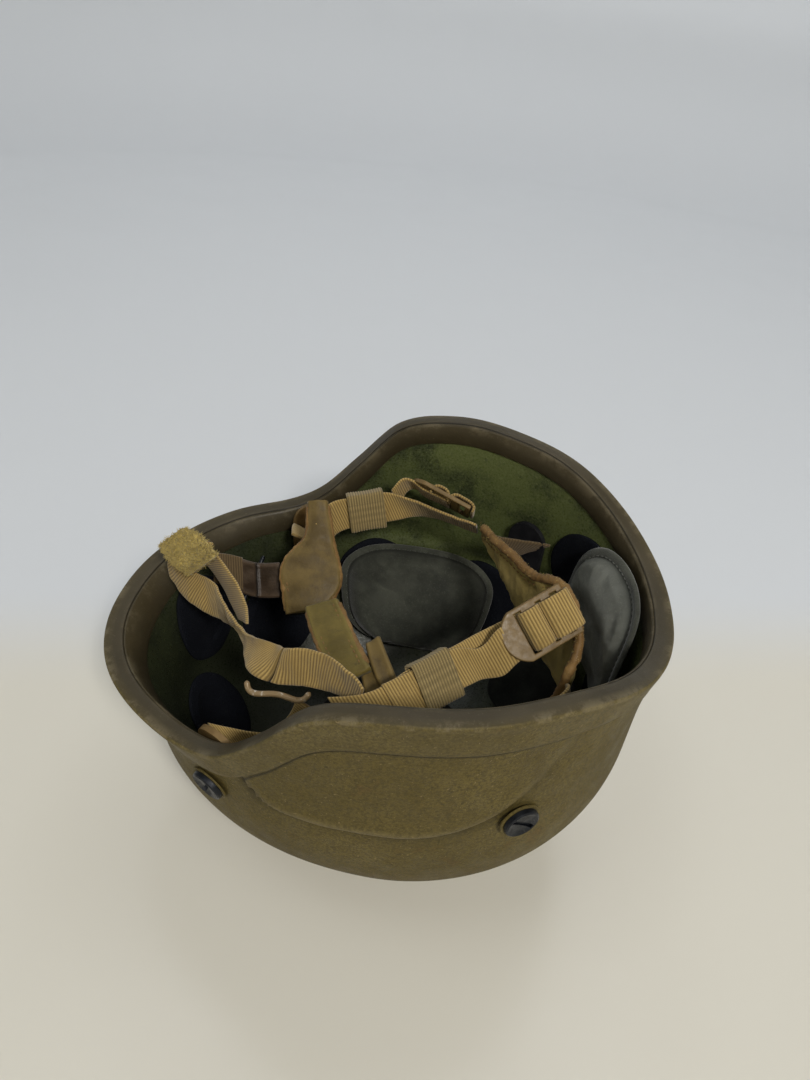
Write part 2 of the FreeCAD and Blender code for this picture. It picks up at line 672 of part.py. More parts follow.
def keeper(name, centre, along, normal):
    """An elastic loop round two layers of webbing: a box with a straight opening."""
    outer = doc.addObject("Part::Box", name + "_outer")
    inner = doc.addObject("Part::Box", name + "_opening")
    for box, spare in ((outer, "0"), (inner, "2 * Sizes.keeper_wall")):
        box.setExpression("Width", "Sizes.keeper_width - " + spare)
        box.setExpression("Height", "Sizes.keeper_height - " + spare)
        box.setExpression("Placement.Base.y", "-(Sizes.keeper_width - %s) / 2" % spare)
        box.setExpression("Placement.Base.z", "-(Sizes.keeper_height - %s) / 2" % spare)
    outer.setExpression("Length", "Sizes.keeper_length")
    outer.setExpression("Placement.Base.x", "-Sizes.keeper_length / 2")
    inner.setExpression("Length", "Sizes.keeper_length * 2")
    inner.setExpression("Placement.Base.x", "-Sizes.keeper_length")
    loop = doc.addObject("Part::Cut", name)
    loop.Base, loop.Tool = outer, inner
    loop.Placement = axes_placement(centre, along, normal)
    return keep(name, loop)


def square_to(along, across):
    """The direction square to a strap's run and its width."""
    return Vector(*along).cross(Vector(*across)).normalize()


RIGHT_RUN = (16, 17.3, 0)
right_face = square_to(RIGHT_RUN, CHAIN)
keeper("right_keeper", Vector(33, -57.15, 153) + right_face * 1.1, RIGHT_RUN, right_face)
LEFT_RUN = (17, 6.3, 2.7)
left_face = square_to((-9, 1, 18), LEFT_RUN)
keeper("left_keeper", Vector(-22, 70.44, 146.9), LEFT_RUN, left_face)


def rail_rod(name, start, end):
    """A short round rail that a strap end loops over."""
    rod = doc.addObject("Part::Cylinder", name)
    rod.setExpression("Radius", "Sizes.rail_radius")
    rod.setExpression("Height", "Sizes.rail_length")
    run = Vector(*end) - Vector(*start)
    rod.Placement = Placement(Vector(*start), Rotation(Vector(0, 0, 1), run))
    return rod


rods = [rail_rod("rail_right", (-50, -67, 133), (-22, -70, 139)),
        rail_rod("rail_left", (-82, 22, 104), (-76, 44, 122))]
doc.recompute()
group("chin_rails", [rod.Shape for rod in rods])

# ---------------------------------------------------------------- check and write


def check_document():
    """Stop if any object failed to build or any sub-part is empty or invalid."""
    doc.recompute()
    for obj in doc.Objects:
        if "Invalid" in obj.State or "Error" in obj.State:
            raise RuntimeError("%s did not build: %s" % (obj.Label, obj.State))
    for name, obj in nodes.items():
        if obj.Shape.isNull() or not obj.Shape.isValid():
            raise RuntimeError("%s has no valid shape" % name)
        print(name, len(obj.Shape.Solids), "solids", round(obj.Shape.Volume), "mm3")


check_document()
os.makedirs("parts", exist_ok=True)
for name, obj in nodes.items():
    obj.Shape.exportStep("parts/%s.step" % name)
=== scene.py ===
"""Looks of a protective helmet that lies upside down on its crown, with its pads and its harness.

Shape formulas are in millimetres in the frame's own axes, and make() turns them into metres:
+Z out of the opening, -X towards the brow, +X towards the nape, +Y towards the wearer's left.
"""

import math

import bpy
import numpy as np
from mathutils import Matrix, Vector
from mathutils.bvhtree import BVHTree


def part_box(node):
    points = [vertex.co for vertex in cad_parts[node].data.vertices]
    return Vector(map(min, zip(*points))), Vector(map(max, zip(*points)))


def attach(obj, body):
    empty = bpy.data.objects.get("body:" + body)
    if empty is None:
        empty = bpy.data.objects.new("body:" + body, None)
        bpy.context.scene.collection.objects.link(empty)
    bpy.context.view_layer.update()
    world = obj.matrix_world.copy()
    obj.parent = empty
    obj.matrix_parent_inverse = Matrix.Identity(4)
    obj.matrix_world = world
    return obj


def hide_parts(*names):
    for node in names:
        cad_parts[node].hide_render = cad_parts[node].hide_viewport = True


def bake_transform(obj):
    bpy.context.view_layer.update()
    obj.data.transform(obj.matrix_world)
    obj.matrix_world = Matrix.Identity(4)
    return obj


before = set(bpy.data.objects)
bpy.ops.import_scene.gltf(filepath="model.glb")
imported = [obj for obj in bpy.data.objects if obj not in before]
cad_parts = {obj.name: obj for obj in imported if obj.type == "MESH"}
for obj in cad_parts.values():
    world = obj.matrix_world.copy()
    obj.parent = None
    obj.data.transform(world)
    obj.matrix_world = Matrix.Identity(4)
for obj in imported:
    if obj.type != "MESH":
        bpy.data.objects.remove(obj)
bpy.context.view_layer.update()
rng = np.random.default_rng(7)
MM = 0.001

# ---- camera

CAMERA_AT = np.array([33.0, -308.5, 425.8])
CAMERA_FORWARD = np.array([-0.0635, 0.7867, -0.6141])
CAMERA_ROLL = math.radians(6.7)             # the helmet leans this much to its nape side
LENS, SENSOR = 27.03, 36.0

level_right = np.cross(CAMERA_FORWARD, [0, 0, 1])
level_right /= np.linalg.norm(level_right)
level_up = np.cross(level_right, CAMERA_FORWARD)
rolled_right = level_right * math.cos(CAMERA_ROLL) + level_up * math.sin(CAMERA_ROLL)
rolled_up = -level_right * math.sin(CAMERA_ROLL) + level_up * math.cos(CAMERA_ROLL)


def make_camera():
    """The camera, rolled so that the level helmet appears to lean."""
    data = bpy.data.cameras.new("camera")
    data.lens, data.sensor_width = LENS, SENSOR
    data.clip_start, data.clip_end = 0.01, 50
    camera = bpy.data.objects.new("camera", data)
    bpy.context.scene.collection.objects.link(camera)
    columns = np.stack([rolled_right, rolled_up, -CAMERA_FORWARD], axis=1)
    camera.matrix_world = Matrix.Translation(CAMERA_AT * MM) @ Matrix(columns.tolist()).to_4x4()
    bpy.context.scene.camera = camera


make_camera()

# ---- materials

RIB_PITCH, THREAD_PITCH = 1.5, 0.62         # along and across the webbing


def scaled(colour, share):
    """A colour made lighter or darker."""
    return tuple(share * channel for channel in colour)


class Look:
    """A Principled material under construction, with short names for the nodes it uses."""

    def __init__(self, name, roughness=0.6, **sockets):
        self.material = bpy.data.materials.new(name)
        self.material.use_nodes = True
        self.tree = self.material.node_tree
        self.shader = self.tree.nodes["Principled BSDF"]
        self.shader.inputs["Roughness"].default_value = roughness
        for socket, value in sockets.items():
            self.shader.inputs[socket.replace("_", " ")].default_value = value
        self.place = self.add("ShaderNodeTexCoord").outputs["Object"]
        self.height = None

    def add(self, kind, **settings):
        node = self.tree.nodes.new(kind)
        for key, value in settings.items():
            setattr(node, key, value)
        return node

    def feed(self, socket, value):
        """Sets a socket from another node's output, a number or a colour."""
        if isinstance(value, bpy.types.NodeSocket):
            self.tree.links.new(value, socket)
        elif isinstance(value, (tuple, list)) and len(value) == 3 and socket.type == "RGBA":
            socket.default_value = (*value, 1)
        else:
            socket.default_value = value

    def stretched(self, x, y, z):
        """Object coordinates scaled on each axis, for streaks and grain."""
        node = self.add("ShaderNodeMapping")
        self.feed(node.inputs["Vector"], self.place)
        node.inputs["Scale"].default_value = (x, y, z)
        return node.outputs["Vector"]

    def noise(self, size_mm, detail=3.0, rough=0.55, place=None):
        """Smooth noise whose features are about size_mm across, from 0 to 1."""
        node = self.add("ShaderNodeTexNoise")
        self.feed(node.inputs["Vector"], place or self.place)
        node.inputs["Scale"].default_value = 1 / (size_mm * MM)
        node.inputs["Detail"].default_value = detail
        node.inputs["Roughness"].default_value = rough
        return node.outputs["Fac"]

    def cells(self, size_mm):
        """Distance to the nearest point of a random scatter, size_mm apart."""
        node = self.add("ShaderNodeTexVoronoi")
        self.feed(node.inputs["Vector"], self.place)
        node.inputs["Scale"].default_value = 1 / (size_mm * MM)
        return node.outputs["Distance"]

    def attribute(self, name):
        return self.add("ShaderNodeAttribute", attribute_name=name).outputs["Fac"]

    def maths(self, operation, first, second=0.0):
        node = self.add("ShaderNodeMath", operation=operation)
        self.feed(node.inputs[0], first)
        self.feed(node.inputs[1], second)
        return node.outputs[0]

    def between(self, value, low, high, out_low=0.0, out_high=1.0):
        """value mapped from low..high to out_low..out_high, clamped, with soft ends."""
        node = self.add("ShaderNodeMapRange", interpolation_type="SMOOTHSTEP")
        for name, given in zip(("Value", "From Min", "From Max", "To Min", "To Max"),
                               (value, low, high, out_low, out_high)):
            self.feed(node.inputs[name], given)
        return node.outputs["Result"]

    def mix(self, share, first, second):
        node = self.add("ShaderNodeMix", data_type="RGBA")
        self.feed(node.inputs[0], share)
        self.feed(node.inputs[6], first)
        self.feed(node.inputs[7], second)
        return node.outputs[2]

    def mottled(self, size_mm, detail, first, second, high=0.7, rough=0.55):
        """Two colours mixed by noise."""
        return self.mix(self.between(self.noise(size_mm, detail, rough), 0.35, high), first, second)

    def spots(self, base, size_mm, detail, low, high, share, colour, rough=0.55):
        """base, with noise-shaped patches that take up to a share of another colour."""
        patches = self.between(self.noise(size_mm, detail, rough), low, high, 0, share)
        return self.mix(patches, base, colour)

    def axis(self, name):
        """One object coordinate, in metres."""
        split = self.add("ShaderNodeSeparateXYZ")
        self.feed(split.inputs["Vector"], self.place)
        return split.outputs[name]

    def colour(self, value):
        self.feed(self.shader.inputs["Base Color"], value)

    def shade_creases(self, base, colour):
        """The base colour, with another colour painted in the creases as shade."""
        self.colour(self.mix(self.attribute("crease_shade"), base, colour))

    def roughness(self, value):
        self.feed(self.shader.inputs["Roughness"], value)

    def bump(self, height, depth_mm, strength=1.0):
        """One more layer of relief, on top of those before."""
        node = self.add("ShaderNodeBump")
        node.inputs["Strength"].default_value = strength
        node.inputs["Distance"].default_value = depth_mm * MM
        self.feed(node.inputs["Height"], height)
        if self.height is not None:
            self.feed(node.inputs["Normal"], self.height)
        self.height = node.outputs["Normal"]
        self.feed(self.shader.inputs["Normal"], self.height)


def olive_paint(look):
    """Colour of the textured olive drab: run-down dirt, faint streaks, pale flecks and pits."""
    streaks = look.noise(9, 5, 0.6, look.stretched(1, 1, 0.22))
    base = look.mottled(55, 3, (0.100, 0.076, 0.020), (0.128, 0.098, 0.028), 0.68)
    base = look.mix(look.between(streaks, 0.52, 0.72, 0, 0.4), base, (0.060, 0.044, 0.014))
    grain = look.between(look.noise(1.5, 4, 0.8), 0.36, 0.62)
    base = look.mix(grain, (0.060, 0.045, 0.013), base)
    flecked = look.spots(base, 1.3, 1, 0.69, 0.75, 0.6, (0.220, 0.165, 0.075))
    pitted = look.spots(flecked, 2.4, 2, 0.33, 0.25, 0.6, (0.030, 0.022, 0.008))
    return look.spots(pitted, 24, 6, 0.60, 0.70, 0.35, (0.105, 0.060, 0.024), 0.7)


def paint_look():
    """Fine textured paint, with a painted highlight on the ledge's crest and painted shade in its fold and
    under the trim flange's edge.
    """
    look = Look("olive_paint", 0.62, Specular_IOR_Level=0.22)
    base = olive_paint(look)
    scuffs = look.noise(12, 6, 0.7)
    # Painted highlight on the ledge's crest (the corner mask), broken up by the scuff noise.
    crest = look.maths("MULTIPLY", look.attribute("corner"), look.between(scuffs, 0.35, 0.6, 0.35, 1))
    base = look.mix(look.maths("MULTIPLY", crest, 0.5), base, (0.185, 0.150, 0.080))
    # Painted shade in the ledge's fold and under the trim flange's lower edge.
    look.shade_creases(base, (0.010, 0.008, 0.004))
    look.roughness(look.between(scuffs, 0.3, 0.7, 0.52, 0.70))
    look.bump(look.noise(1.1, 3, 0.7), 0.38, 0.95)
    look.bump(look.noise(14, 2), 0.5, 0.35)
    return look.material


def lining_look():
    """The inner wall: mottled glossy green, with painted shade that darkens it towards the brow and towards
    the bottom of the bowl.
    """
    look = Look("green_lining_paint", 0.34, Specular_IOR_Level=0.35)
    broad = look.noise(30, 6, 0.65)
    fine = look.noise(1.3, 4, 0.7)
    base = look.mix(look.between(broad, 0.42, 0.66), (0.080, 0.096, 0.032), (0.028, 0.035, 0.015))
    base = look.mix(look.between(fine, 0.5, 0.68, 0, 0.55), base, (0.140, 0.160, 0.065))
    base = look.spots(base, 4, 3, 0.60, 0.72, 0.5, (0.018, 0.022, 0.013))
    # Painted shade: darker towards the brow.
    brow_shade = look.between(look.axis("X"), 0.03, -0.11, 0, 0.8)
    base = look.mix(brow_shade, base, (0.010, 0.012, 0.007))
    # Painted shade: darker towards the bottom of the bowl.
    depth = look.between(look.axis("Z"), 0.125, 0.05, 0, 0.75)
    look.colour(look.mix(depth, base, (0.012, 0.014, 0.008)))
    look.roughness(look.between(fine, 0.35, 0.65, 0.24, 0.46))
    look.bump(fine, 0.16, 0.7)
    look.bump(look.noise(8, 3), 0.8, 0.35)
    return look.material


def trim_look():
    """Rim trim: satin grey-brown on top, overpainted on the outer flange, with pale chips on its corners that
    are partly wear and partly painted highlight, and painted shade in its grooves and on its inner flange.
    """
    look = Look("trim_rubber", 0.48, Specular_IOR_Level=0.28)
    rubber = look.mottled(40, 4, (0.044, 0.034, 0.016), (0.060, 0.047, 0.024), rough=0.6)
    base = look.mix(look.attribute("painted"), rubber, olive_paint(look))
    base = look.spots(base, 1.1, 2, 0.64, 0.74, 0.35, (0.150, 0.125, 0.075))
    scuffs = look.noise(16, 8, 0.75)
    # Pale chips on the corners: partly wear, partly painted highlight.
    worn_chips_and_highlight = look.maths("MULTIPLY", look.attribute("corner"), look.between(scuffs, 0.48, 0.60, 0.06, 1))
    base = look.mix(look.maths("MULTIPLY", worn_chips_and_highlight, 0.5), base, (0.200, 0.165, 0.100))
    # Painted shade in the grooves, along the flange's lower edge and on the inner flange.
    look.shade_creases(base, (0.006, 0.005, 0.003))
    satin = look.between(scuffs, 0.35, 0.7, 0.36, 0.52)
    look.roughness(look.maths("ADD", satin, look.maths("MULTIPLY", look.attribute("painted"), 0.18)))
    look.bump(look.noise(0.7, 3, 0.65), 0.10, 0.7)
    look.bump(look.noise(11, 3), 0.5, 0.3)
    return look.material


def cloth_look(name, dark, light, worn):
    """Ribbed webbing or knit: ribs across the run, threads along it, painted shade in the grooves between
    them and in the creases.
    """
    look = Look(name, 0.82, Specular_IOR_Level=0.25, Sheen_Weight=0.25, Sheen_Roughness=0.5)
    waves = []
    for line, pitch, depth in (("along", RIB_PITCH, 0.7), ("across", THREAD_PITCH, 0.3)):
        turn = look.maths("MULTIPLY", look.attribute(line), 2 * math.pi / pitch)
        wave = look.between(look.maths("COSINE", turn), -1, 1)
        waves.append(look.maths("ADD", look.maths("MULTIPLY", wave, depth), 1 - depth))
    woven = look.maths("MULTIPLY", *waves)
    # The weave mixes dark into light: painted shade in the grooves between ribs and threads.
    base = look.spots(look.mix(woven, dark, light), 11, 4, 0.45, 0.75, 0.5, worn)
    base = look.spots(base, 0.7, 2, 0.60, 0.75, 0.5, light)
    # Painted shade in the creases.
    look.shade_creases(base, scaled(dark, 0.16))
    look.bump(woven, 0.14, 0.8)
    look.bump(look.noise(0.5, 2), 0.12, 0.6)
    return look.material


def leather_look(name, dark, light, stain, roughness=0.55):
    """Soft split leather: pebbled grain, wrinkles, painted shade in its folds and rubbed high spots."""
    look = Look(name, roughness, Specular_IOR_Level=0.3, Sheen_Weight=0.05)
    broad = look.noise(13, 5, 0.6)
    base = look.mix(look.between(broad, 0.35, 0.68), dark, light)
    base = look.spots(base, 5, 6, 0.58, 0.72, 0.5, stain, 0.7)
    rubbed = look.maths("MULTIPLY", look.attribute("edge"), 0.55)
    base = look.mix(rubbed, base, scaled(light, 1.35))
    # Painted shade in the folds.
    look.shade_creases(base, scaled(dark, 0.2))
    look.roughness(look.between(broad, 0.3, 0.7, roughness - 0.10, roughness + 0.12))
    look.bump(look.cells(0.9), 0.12, 0.6)
    look.bump(look.noise(3.2, 5, 0.65), 0.45, 0.6)
    return look.material


def felt_look(name, dark, light, sheen=0.35):
    """Brushed cloth over foam: soft nap, mottling and lint."""
    look = Look(name, 0.9, Specular_IOR_Level=0.2, Sheen_Weight=sheen, Sheen_Roughness=0.45)
    base = look.mottled(18, 5, dark, light, rough=0.6)
    base = look.spots(base, 1.1, 4, 0.52, 0.72, 0.45, scaled(light, 1.6), 0.7)
    # Painted shade in the seams and folds.
    look.shade_creases(base, scaled(dark, 0.3))
    look.bump(look.noise(0.6, 3, 0.7), 0.25, 0.8)
    look.bump(look.noise(7, 3), 0.6, 0.35)
    return look.material


def hook_look():
    """Hook tape: near-black navy, a fine rough pile that catches a little light."""
    look = Look("hook_tape", 0.9, Specular_IOR_Level=0.1)
    grain = look.cells(0.9)
    base = look.mix(look.between(grain, 0.1, 0.6), (0.0025, 0.003, 0.005), (0.006, 0.007, 0.010))
    look.colour(look.spots(base, 9, 4, 0.55, 0.75, 0.35, (0.012, 0.013, 0.015)))
    look.bump(grain, 0.35, 0.9)
    return look.material


def metal_look():
    """Black oxide on steel: dull, with bare metal in scratches and on rubbed spots."""
    look = Look("black_oxide", 0.38, Metallic=0.5)
    scratches = look.noise(2.0, 8, 0.75, look.stretched(1, 4, 1))
    bare = look.between(scratches, 0.60, 0.70, 0, 0.6)
    look.colour(look.mix(bare, (0.006, 0.008, 0.012), (0.14, 0.14, 0.14)))
    look.roughness(look.between(look.noise(3, 4), 0.3, 0.7, 0.26, 0.55))
    look.bump(look.noise(0.8, 3), 0.12, 0.7)
    return look.material


def plastic_look():
    """Moulded tan acetal, rubbed pale and dusty in its texture."""
    look = Look("tan_acetal", 0.42, Specular_IOR_Level=0.35)
    base = look.mottled(8, 4, (0.145, 0.092, 0.032), (0.20, 0.132, 0.052))
    look.colour(look.spots(base, 1.0, 3, 0.58, 0.7, 0.3, (0.24, 0.165, 0.078)))
    look.roughness(look.between(look.noise(2.5, 4), 0.3, 0.7, 0.34, 0.56))
    look.bump(look.noise(0.7, 3), 0.10, 0.6)
    return look.material


def pile_look():
    """Loop pile: dry yellow-tan fibre."""
    look = Look("pile_fibre", 0.95, Sheen_Weight=0.3)
    base = look.mottled(2.2, 3, (0.42, 0.310, 0.075), (0.62, 0.485, 0.145))
    look.colour(look.spots(base, 6, 4, 0.6, 0.75, 0.5, (0.20, 0.14, 0.055)))
    look.bump(look.noise(0.4, 2), 0.2, 0.7)
    return look.material


def wire_look():
    """Tan-coated wire, worn through to bright metal in places."""
    look = Look("coated_wire", 0.35, Metallic=0.15)
    worn = look.between(look.noise(3, 5, 0.7), 0.57, 0.66)
    look.colour(look.mix(worn, (0.26, 0.18, 0.09), (0.60, 0.55, 0.46)))
    look.bump(look.noise(0.7, 3), 0.1, 0.5)
    return look.material


def tab_look():
    """Anchor tabs: orange-tan leather at the brow; at the nape nearly black, as painted shade."""
    look = Look("tab_leather", 0.6, Specular_IOR_Level=0.3)
    front = look.mottled(9, 5, (0.130, 0.078, 0.024), (0.205, 0.130, 0.048), 0.68, 0.6)
    # Painted shade: the nape tabs, which lie in shadow, are made nearly black.
    shaded_rear = look.mottled(9, 5, (0.005, 0.005, 0.007), (0.012, 0.012, 0.014), 0.68, 0.6)
    look.colour(look.mix(look.between(look.axis("X"), 0.0, 0.01), front, shaded_rear))
    look.bump(look.cells(0.9), 0.12, 0.6)
    look.bump(look.noise(3.2, 5, 0.65), 0.45, 0.6)
    return look.material


PAINT, LINING, TRIM = paint_look(), lining_look(), trim_look()
WEBBING = cloth_look("tan_webbing", (0.090, 0.053, 0.013), (0.490, 0.338, 0.116), (0.225, 0.147, 0.045))
KNIT = cloth_look("knitted_elastic", (0.080, 0.058, 0.021), (0.335, 0.248, 0.105), (0.20, 0.145, 0.057))
# A darkened copy of the webbing: painted shade for straps that lie in shadow.
SHADED_WEBBING = cloth_look("shaded_webbing", (0.05, 0.032, 0.014), (0.15, 0.10, 0.045), (0.08, 0.055, 0.025))
TAN_LEATHER = leather_look("tan_leather", (0.085, 0.056, 0.016), (0.150, 0.102, 0.030), (0.050, 0.030, 0.010))
BROWN_LEATHER = leather_look("brown_leather", (0.030, 0.019, 0.011), (0.065, 0.043, 0.026),
                             (0.030, 0.018, 0.012), 0.42)
SEAM_LEATHER = leather_look("seam_leather", (0.150, 0.080, 0.022), (0.240, 0.140, 0.044),
                            (0.070, 0.040, 0.016), 0.6)
# A brightened copy of the olive leather: painted light on the nape band's face, which lies in shade.
LIT_NAPE_LEATHER = leather_look("lit_nape_leather", (0.27, 0.200, 0.060), (0.40, 0.300, 0.100),
                            (0.10, 0.072, 0.022), 0.62)
OLIVE_LEATHER = leather_look("olive_leather", (0.095, 0.070, 0.014), (0.150, 0.112, 0.026),
                             (0.05, 0.036, 0.012), 0.62)
DARK_FELT = felt_look("dark_pad_cloth", (0.036, 0.038, 0.029), (0.066, 0.069, 0.053), 0.45)
# A darkened copy of the pad cloth: painted shade for the pads deep in the bowl.
SHADED_DEEP_FELT = felt_look("shaded_deep_pad_cloth", (0.006, 0.0065, 0.005), (0.015, 0.016, 0.012), 0.05)
LIGHT_FELT = felt_look("light_pad_felt", (0.120, 0.125, 0.106), (0.168, 0.173, 0.150), 0.12)
HOOK, OXIDE, ACETAL, PILE, WIRE = hook_look(), metal_look(), plastic_look(), pile_look(), wire_look()
TAB = tab_look()

# ---- the bowl's surface

trim_low, trim_high = (np.array(corner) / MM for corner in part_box("edge_trim"))
RUBBER, WALL = 1.4, 8.0
HALF_LENGTH = (trim_high[0] - trim_low[0]) / 2 - RUBBER
HALF_WIDTH = (trim_high[1] - trim_low[1]) / 2 - RUBBER
SHIFT, DOME = 15.0, 105.0
BROW_FLARE, NAPE_FLARE, SIDE_FLARE, FLARE_DEPTH = 22.0, 3.5, 3.5, 40.0
PLAN_FRONT, PLAN_REAR = 2.17, 2.06
ARCH_FRONT, ARCH_REAR, ARCH_SIDE = 2.35, 2.2, 2.3
EAR_BULGE, EAR_START, EAR_RISE = 4.6, 97.0, 14.0
# Heights of the rim and of the ledge under the ear bulge, by place along the bowl.
RIM_LINE = [(-HALF_LENGTH - 20, 115), (-HALF_LENGTH, 119), (-0.74 * HALF_LENGTH, 124),
            (-0.53 * HALF_LENGTH, 126), (-0.39 * HALF_LENGTH, 134), (-0.25 * HALF_LENGTH, 155),
            (-0.085 * HALF_LENGTH, 181), (0.14 * HALF_LENGTH, 190), (0.42 * HALF_LENGTH, 190.5),
            (0.7 * HALF_LENGTH, 186.5), (HALF_LENGTH, 167), (HALF_LENGTH + 20, 151)]
LEDGE_LINE = [(-78, 240), (-62, 170), (-46, 132), (-34, 113), (-12, 109), (12, 110), (36, 111.5),
              (58, 117), (76, 129), (90, 155), (102, 194), (118, 260)]


def ease(t):
    """Smooth step from 0 to 1."""
    t = np.clip(t, 0.0, 1.0)
    return t * t * (3 - 2 * t)


def through(points, x):
    """A smooth curve through (x, height) points, at x."""
    points = np.array(points, float)
    k = np.clip(np.searchsorted(points[:, 0], x, side="right") - 1, 1, len(points) - 3)
    (x0, z0), (x1, z1), (x2, z2), (x3, z3) = (
        (points[k + step, 0], points[k + step, 1]) for step in (-1, 0, 1, 2))
    slope_1, slope_2 = (z2 - z0) / (x2 - x0), (z3 - z1) / (x3 - x1)
    t = (x - x1) / (x2 - x1)
    bend = (2 * t ** 3 - 3 * t ** 2 + 1) * z1 + (3 * t ** 2 - 2 * t ** 3) * z2
    return bend + (x2 - x1) * ((t ** 3 - 2 * t ** 2 + t) * slope_1 + (t ** 3 - t ** 2) * slope_2)


def squircle(turn, power):
    """A point of the unit superellipse."""
    cos, sin = np.cos(turn), np.sin(turn)
    return np.sign(cos) * np.abs(cos) ** (2 / power), np.sign(sin) * np.abs(sin) ** (2 / power)


def plan_share(angle):
    """Shares of the plan's half-length and half-width at an angle round the bowl."""
    return squircle(angle, np.where(np.cos(angle) < 0, PLAN_FRONT, PLAN_REAR))


def rim_at(angle):
    """Height of the rim at an angle round the bowl."""
    along = plan_share(angle)[0]
    reach = HALF_LENGTH + np.where(along < 0, SHIFT, -SHIFT)
    return through(RIM_LINE, SHIFT + reach * along)


def above_ledge(x, z):
    """Distance of a point above the ledge line, square to the line."""
    x = np.clip(x, LEDGE_LINE[1][0], LEDGE_LINE[-2][0])
    height = through(LEDGE_LINE, x)
    slope = through(LEDGE_LINE, x + 0.5) - through(LEDGE_LINE, x - 0.5)
    return (z - height) / np.sqrt(1 + slope ** 2)


def ear_share(x):
    """How much of the ear bulge stands at a place along the bowl."""
    return ease((x + 80) / 50) * ease((110 - x) / 80)


def surface(angle, z, inset=0.0, outside=False):
    """Points of the bowl's surface, inset from the outer face, as an array of x, y, z."""
    angle, z = np.broadcast_arrays(np.asarray(angle, float), np.asarray(z, float))
    along, across = plan_share(angle)
    front = along < 0
    reach = HALF_LENGTH + np.where(front, SHIFT, -SHIFT) - inset
    flare = np.where(front, BROW_FLARE, NAPE_FLARE)
    rise = np.clip((z - rim_at(angle) + FLARE_DEPTH) / FLARE_DEPTH, 0, 1) ** 2
    drop = np.clip((DOME - z) / (DOME - inset), 0, 1)
    arch = np.where(front, ARCH_FRONT, ARCH_REAR)
    grow_x = (1 - drop ** arch) ** (1 / arch)
    grow_y = (1 - drop ** ARCH_SIDE) ** (1 / ARCH_SIDE)
    x = SHIFT + ((reach - flare) * grow_x + flare * rise) * along
    if outside:
        above = above_ledge(x, z)
        crest, fold = np.exp(-((above - 3.6) / 2.2) ** 2), np.exp(-((above + 1.6) / 1.5) ** 2)
        bulge = EAR_BULGE * ease((above + 0.4) / 2.6) + 0.7 * crest - 0.9 * fold
    else:
        bulge = EAR_BULGE * ease((z - EAR_START) / EAR_RISE)
    bulge = bulge * ear_share(x)
    half = HALF_WIDTH - inset - EAR_BULGE - SIDE_FLARE
    y = (half * grow_y + SIDE_FLARE * rise) * across
    y = y + np.sign(across) * bulge * np.abs(across) ** 0.5
    return np.stack([x, y, z + 0 * x], axis=-1)


def surface_at(heading, z, inset):
    """Points of the inner surface at compass headings, in degrees, from the bowl's axis."""
    heading, z = np.broadcast_arrays(np.asarray(heading, float), np.asarray(z, float))
    target = np.radians(heading)
    low, high = target - 0.6, target + 0.6
    for _ in range(26):                     # halvings, down to nothing
        middle = (low + high) / 2
        point = surface(middle, z, inset)
        ahead = np.arctan2(point[..., 1], point[..., 0] - SHIFT) - target
        ahead = (ahead + np.pi) % (2 * np.pi) - np.pi
        low, high = np.where(ahead < 0, middle, low), np.where(ahead < 0, high, middle)
    return surface((low + high) / 2, z, inset)


def unit(vectors):
    """Vectors scaled to length 1."""
    vectors = np.asarray(vectors, float)
    return vectors / np.maximum(np.linalg.norm(vectors, axis=-1, keepdims=True), 1e-9)


def full_turn(count):
    """Angles of count points round a circle."""
    return 2 * np.pi * np.arange(count) / count


def lengths_along(path):
    """Distance along a path at each of its points."""
    return np.concatenate([[0], np.cumsum(np.linalg.norm(np.diff(path, axis=0), axis=1))])


def closed_loop(path):
    """A path that ends where it starts."""
    return np.concatenate([path, path[:1]])


def wobble(points, size, seed):
    """Smooth repeatable noise from -1 to 1 at points, its features about size millimetres across."""
    random = np.random.default_rng(seed)
    value = np.zeros(points.shape[:-1])
    for _ in range(9):
        wave = unit(random.normal(size=3)) * 2 * np.pi / (size * random.uniform(0.7, 1.6))
        value += np.sin(points @ wave + random.uniform(0, 2 * np.pi))
    return value / 4.5


# ---- mesh making


def grid_faces(rows, columns, closed=False, start=0):
    """Quads of a grid whose columns close round, and whose rows may too."""
    faces = []
    for r in range(rows if closed else rows - 1):
        below, above = start + r * columns, start + (r + 1) % rows * columns
        for c in range(columns):
            n = (c + 1) % columns
            faces.append((below + c, below + n, above + n, above + c))
    return faces


def capped_grid(rows, columns, start=0):
    """A grid that closes round, with a face on each end."""
    last = start + (rows - 1) * columns
    ends = [tuple(range(start, start + columns))[::-1], tuple(range(last, last + columns))]
    return grid_faces(rows, columns, start=start) + ends


def make(name, points, faces, looks, body="root", stands_for=(), floats=None, which=None):
    """A piece from points in millimetres, riding on a body."""
    mesh = bpy.data.meshes.new(name)
    mesh.from_pydata((np.asarray(points, float).reshape(-1, 3) * MM).tolist(), [], faces)
    for look in looks if isinstance(looks, (list, tuple)) else [looks]:
        mesh.materials.append(look)
    for key, values in (floats or {}).items():
        layer = mesh.attributes.new(key, "FLOAT", "POINT")
        layer.data.foreach_set("value", np.asarray(values, np.float32).ravel())
    if which is not None:
        mesh.polygons.foreach_set("material_index", np.asarray(which, np.int32))
    mesh.polygons.foreach_set("use_smooth", np.ones(len(mesh.polygons), bool))
    mesh.update()
    piece = bpy.data.objects.new(name, mesh)
    bpy.context.scene.collection.objects.link(piece)
    if body:
        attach(piece, body)
    if stands_for:
        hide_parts(*stands_for)
    return piece


# ---- shell

AROUND = 320
angles = 2 * np.pi * (np.arange(AROUND) + 0.5) / AROUND


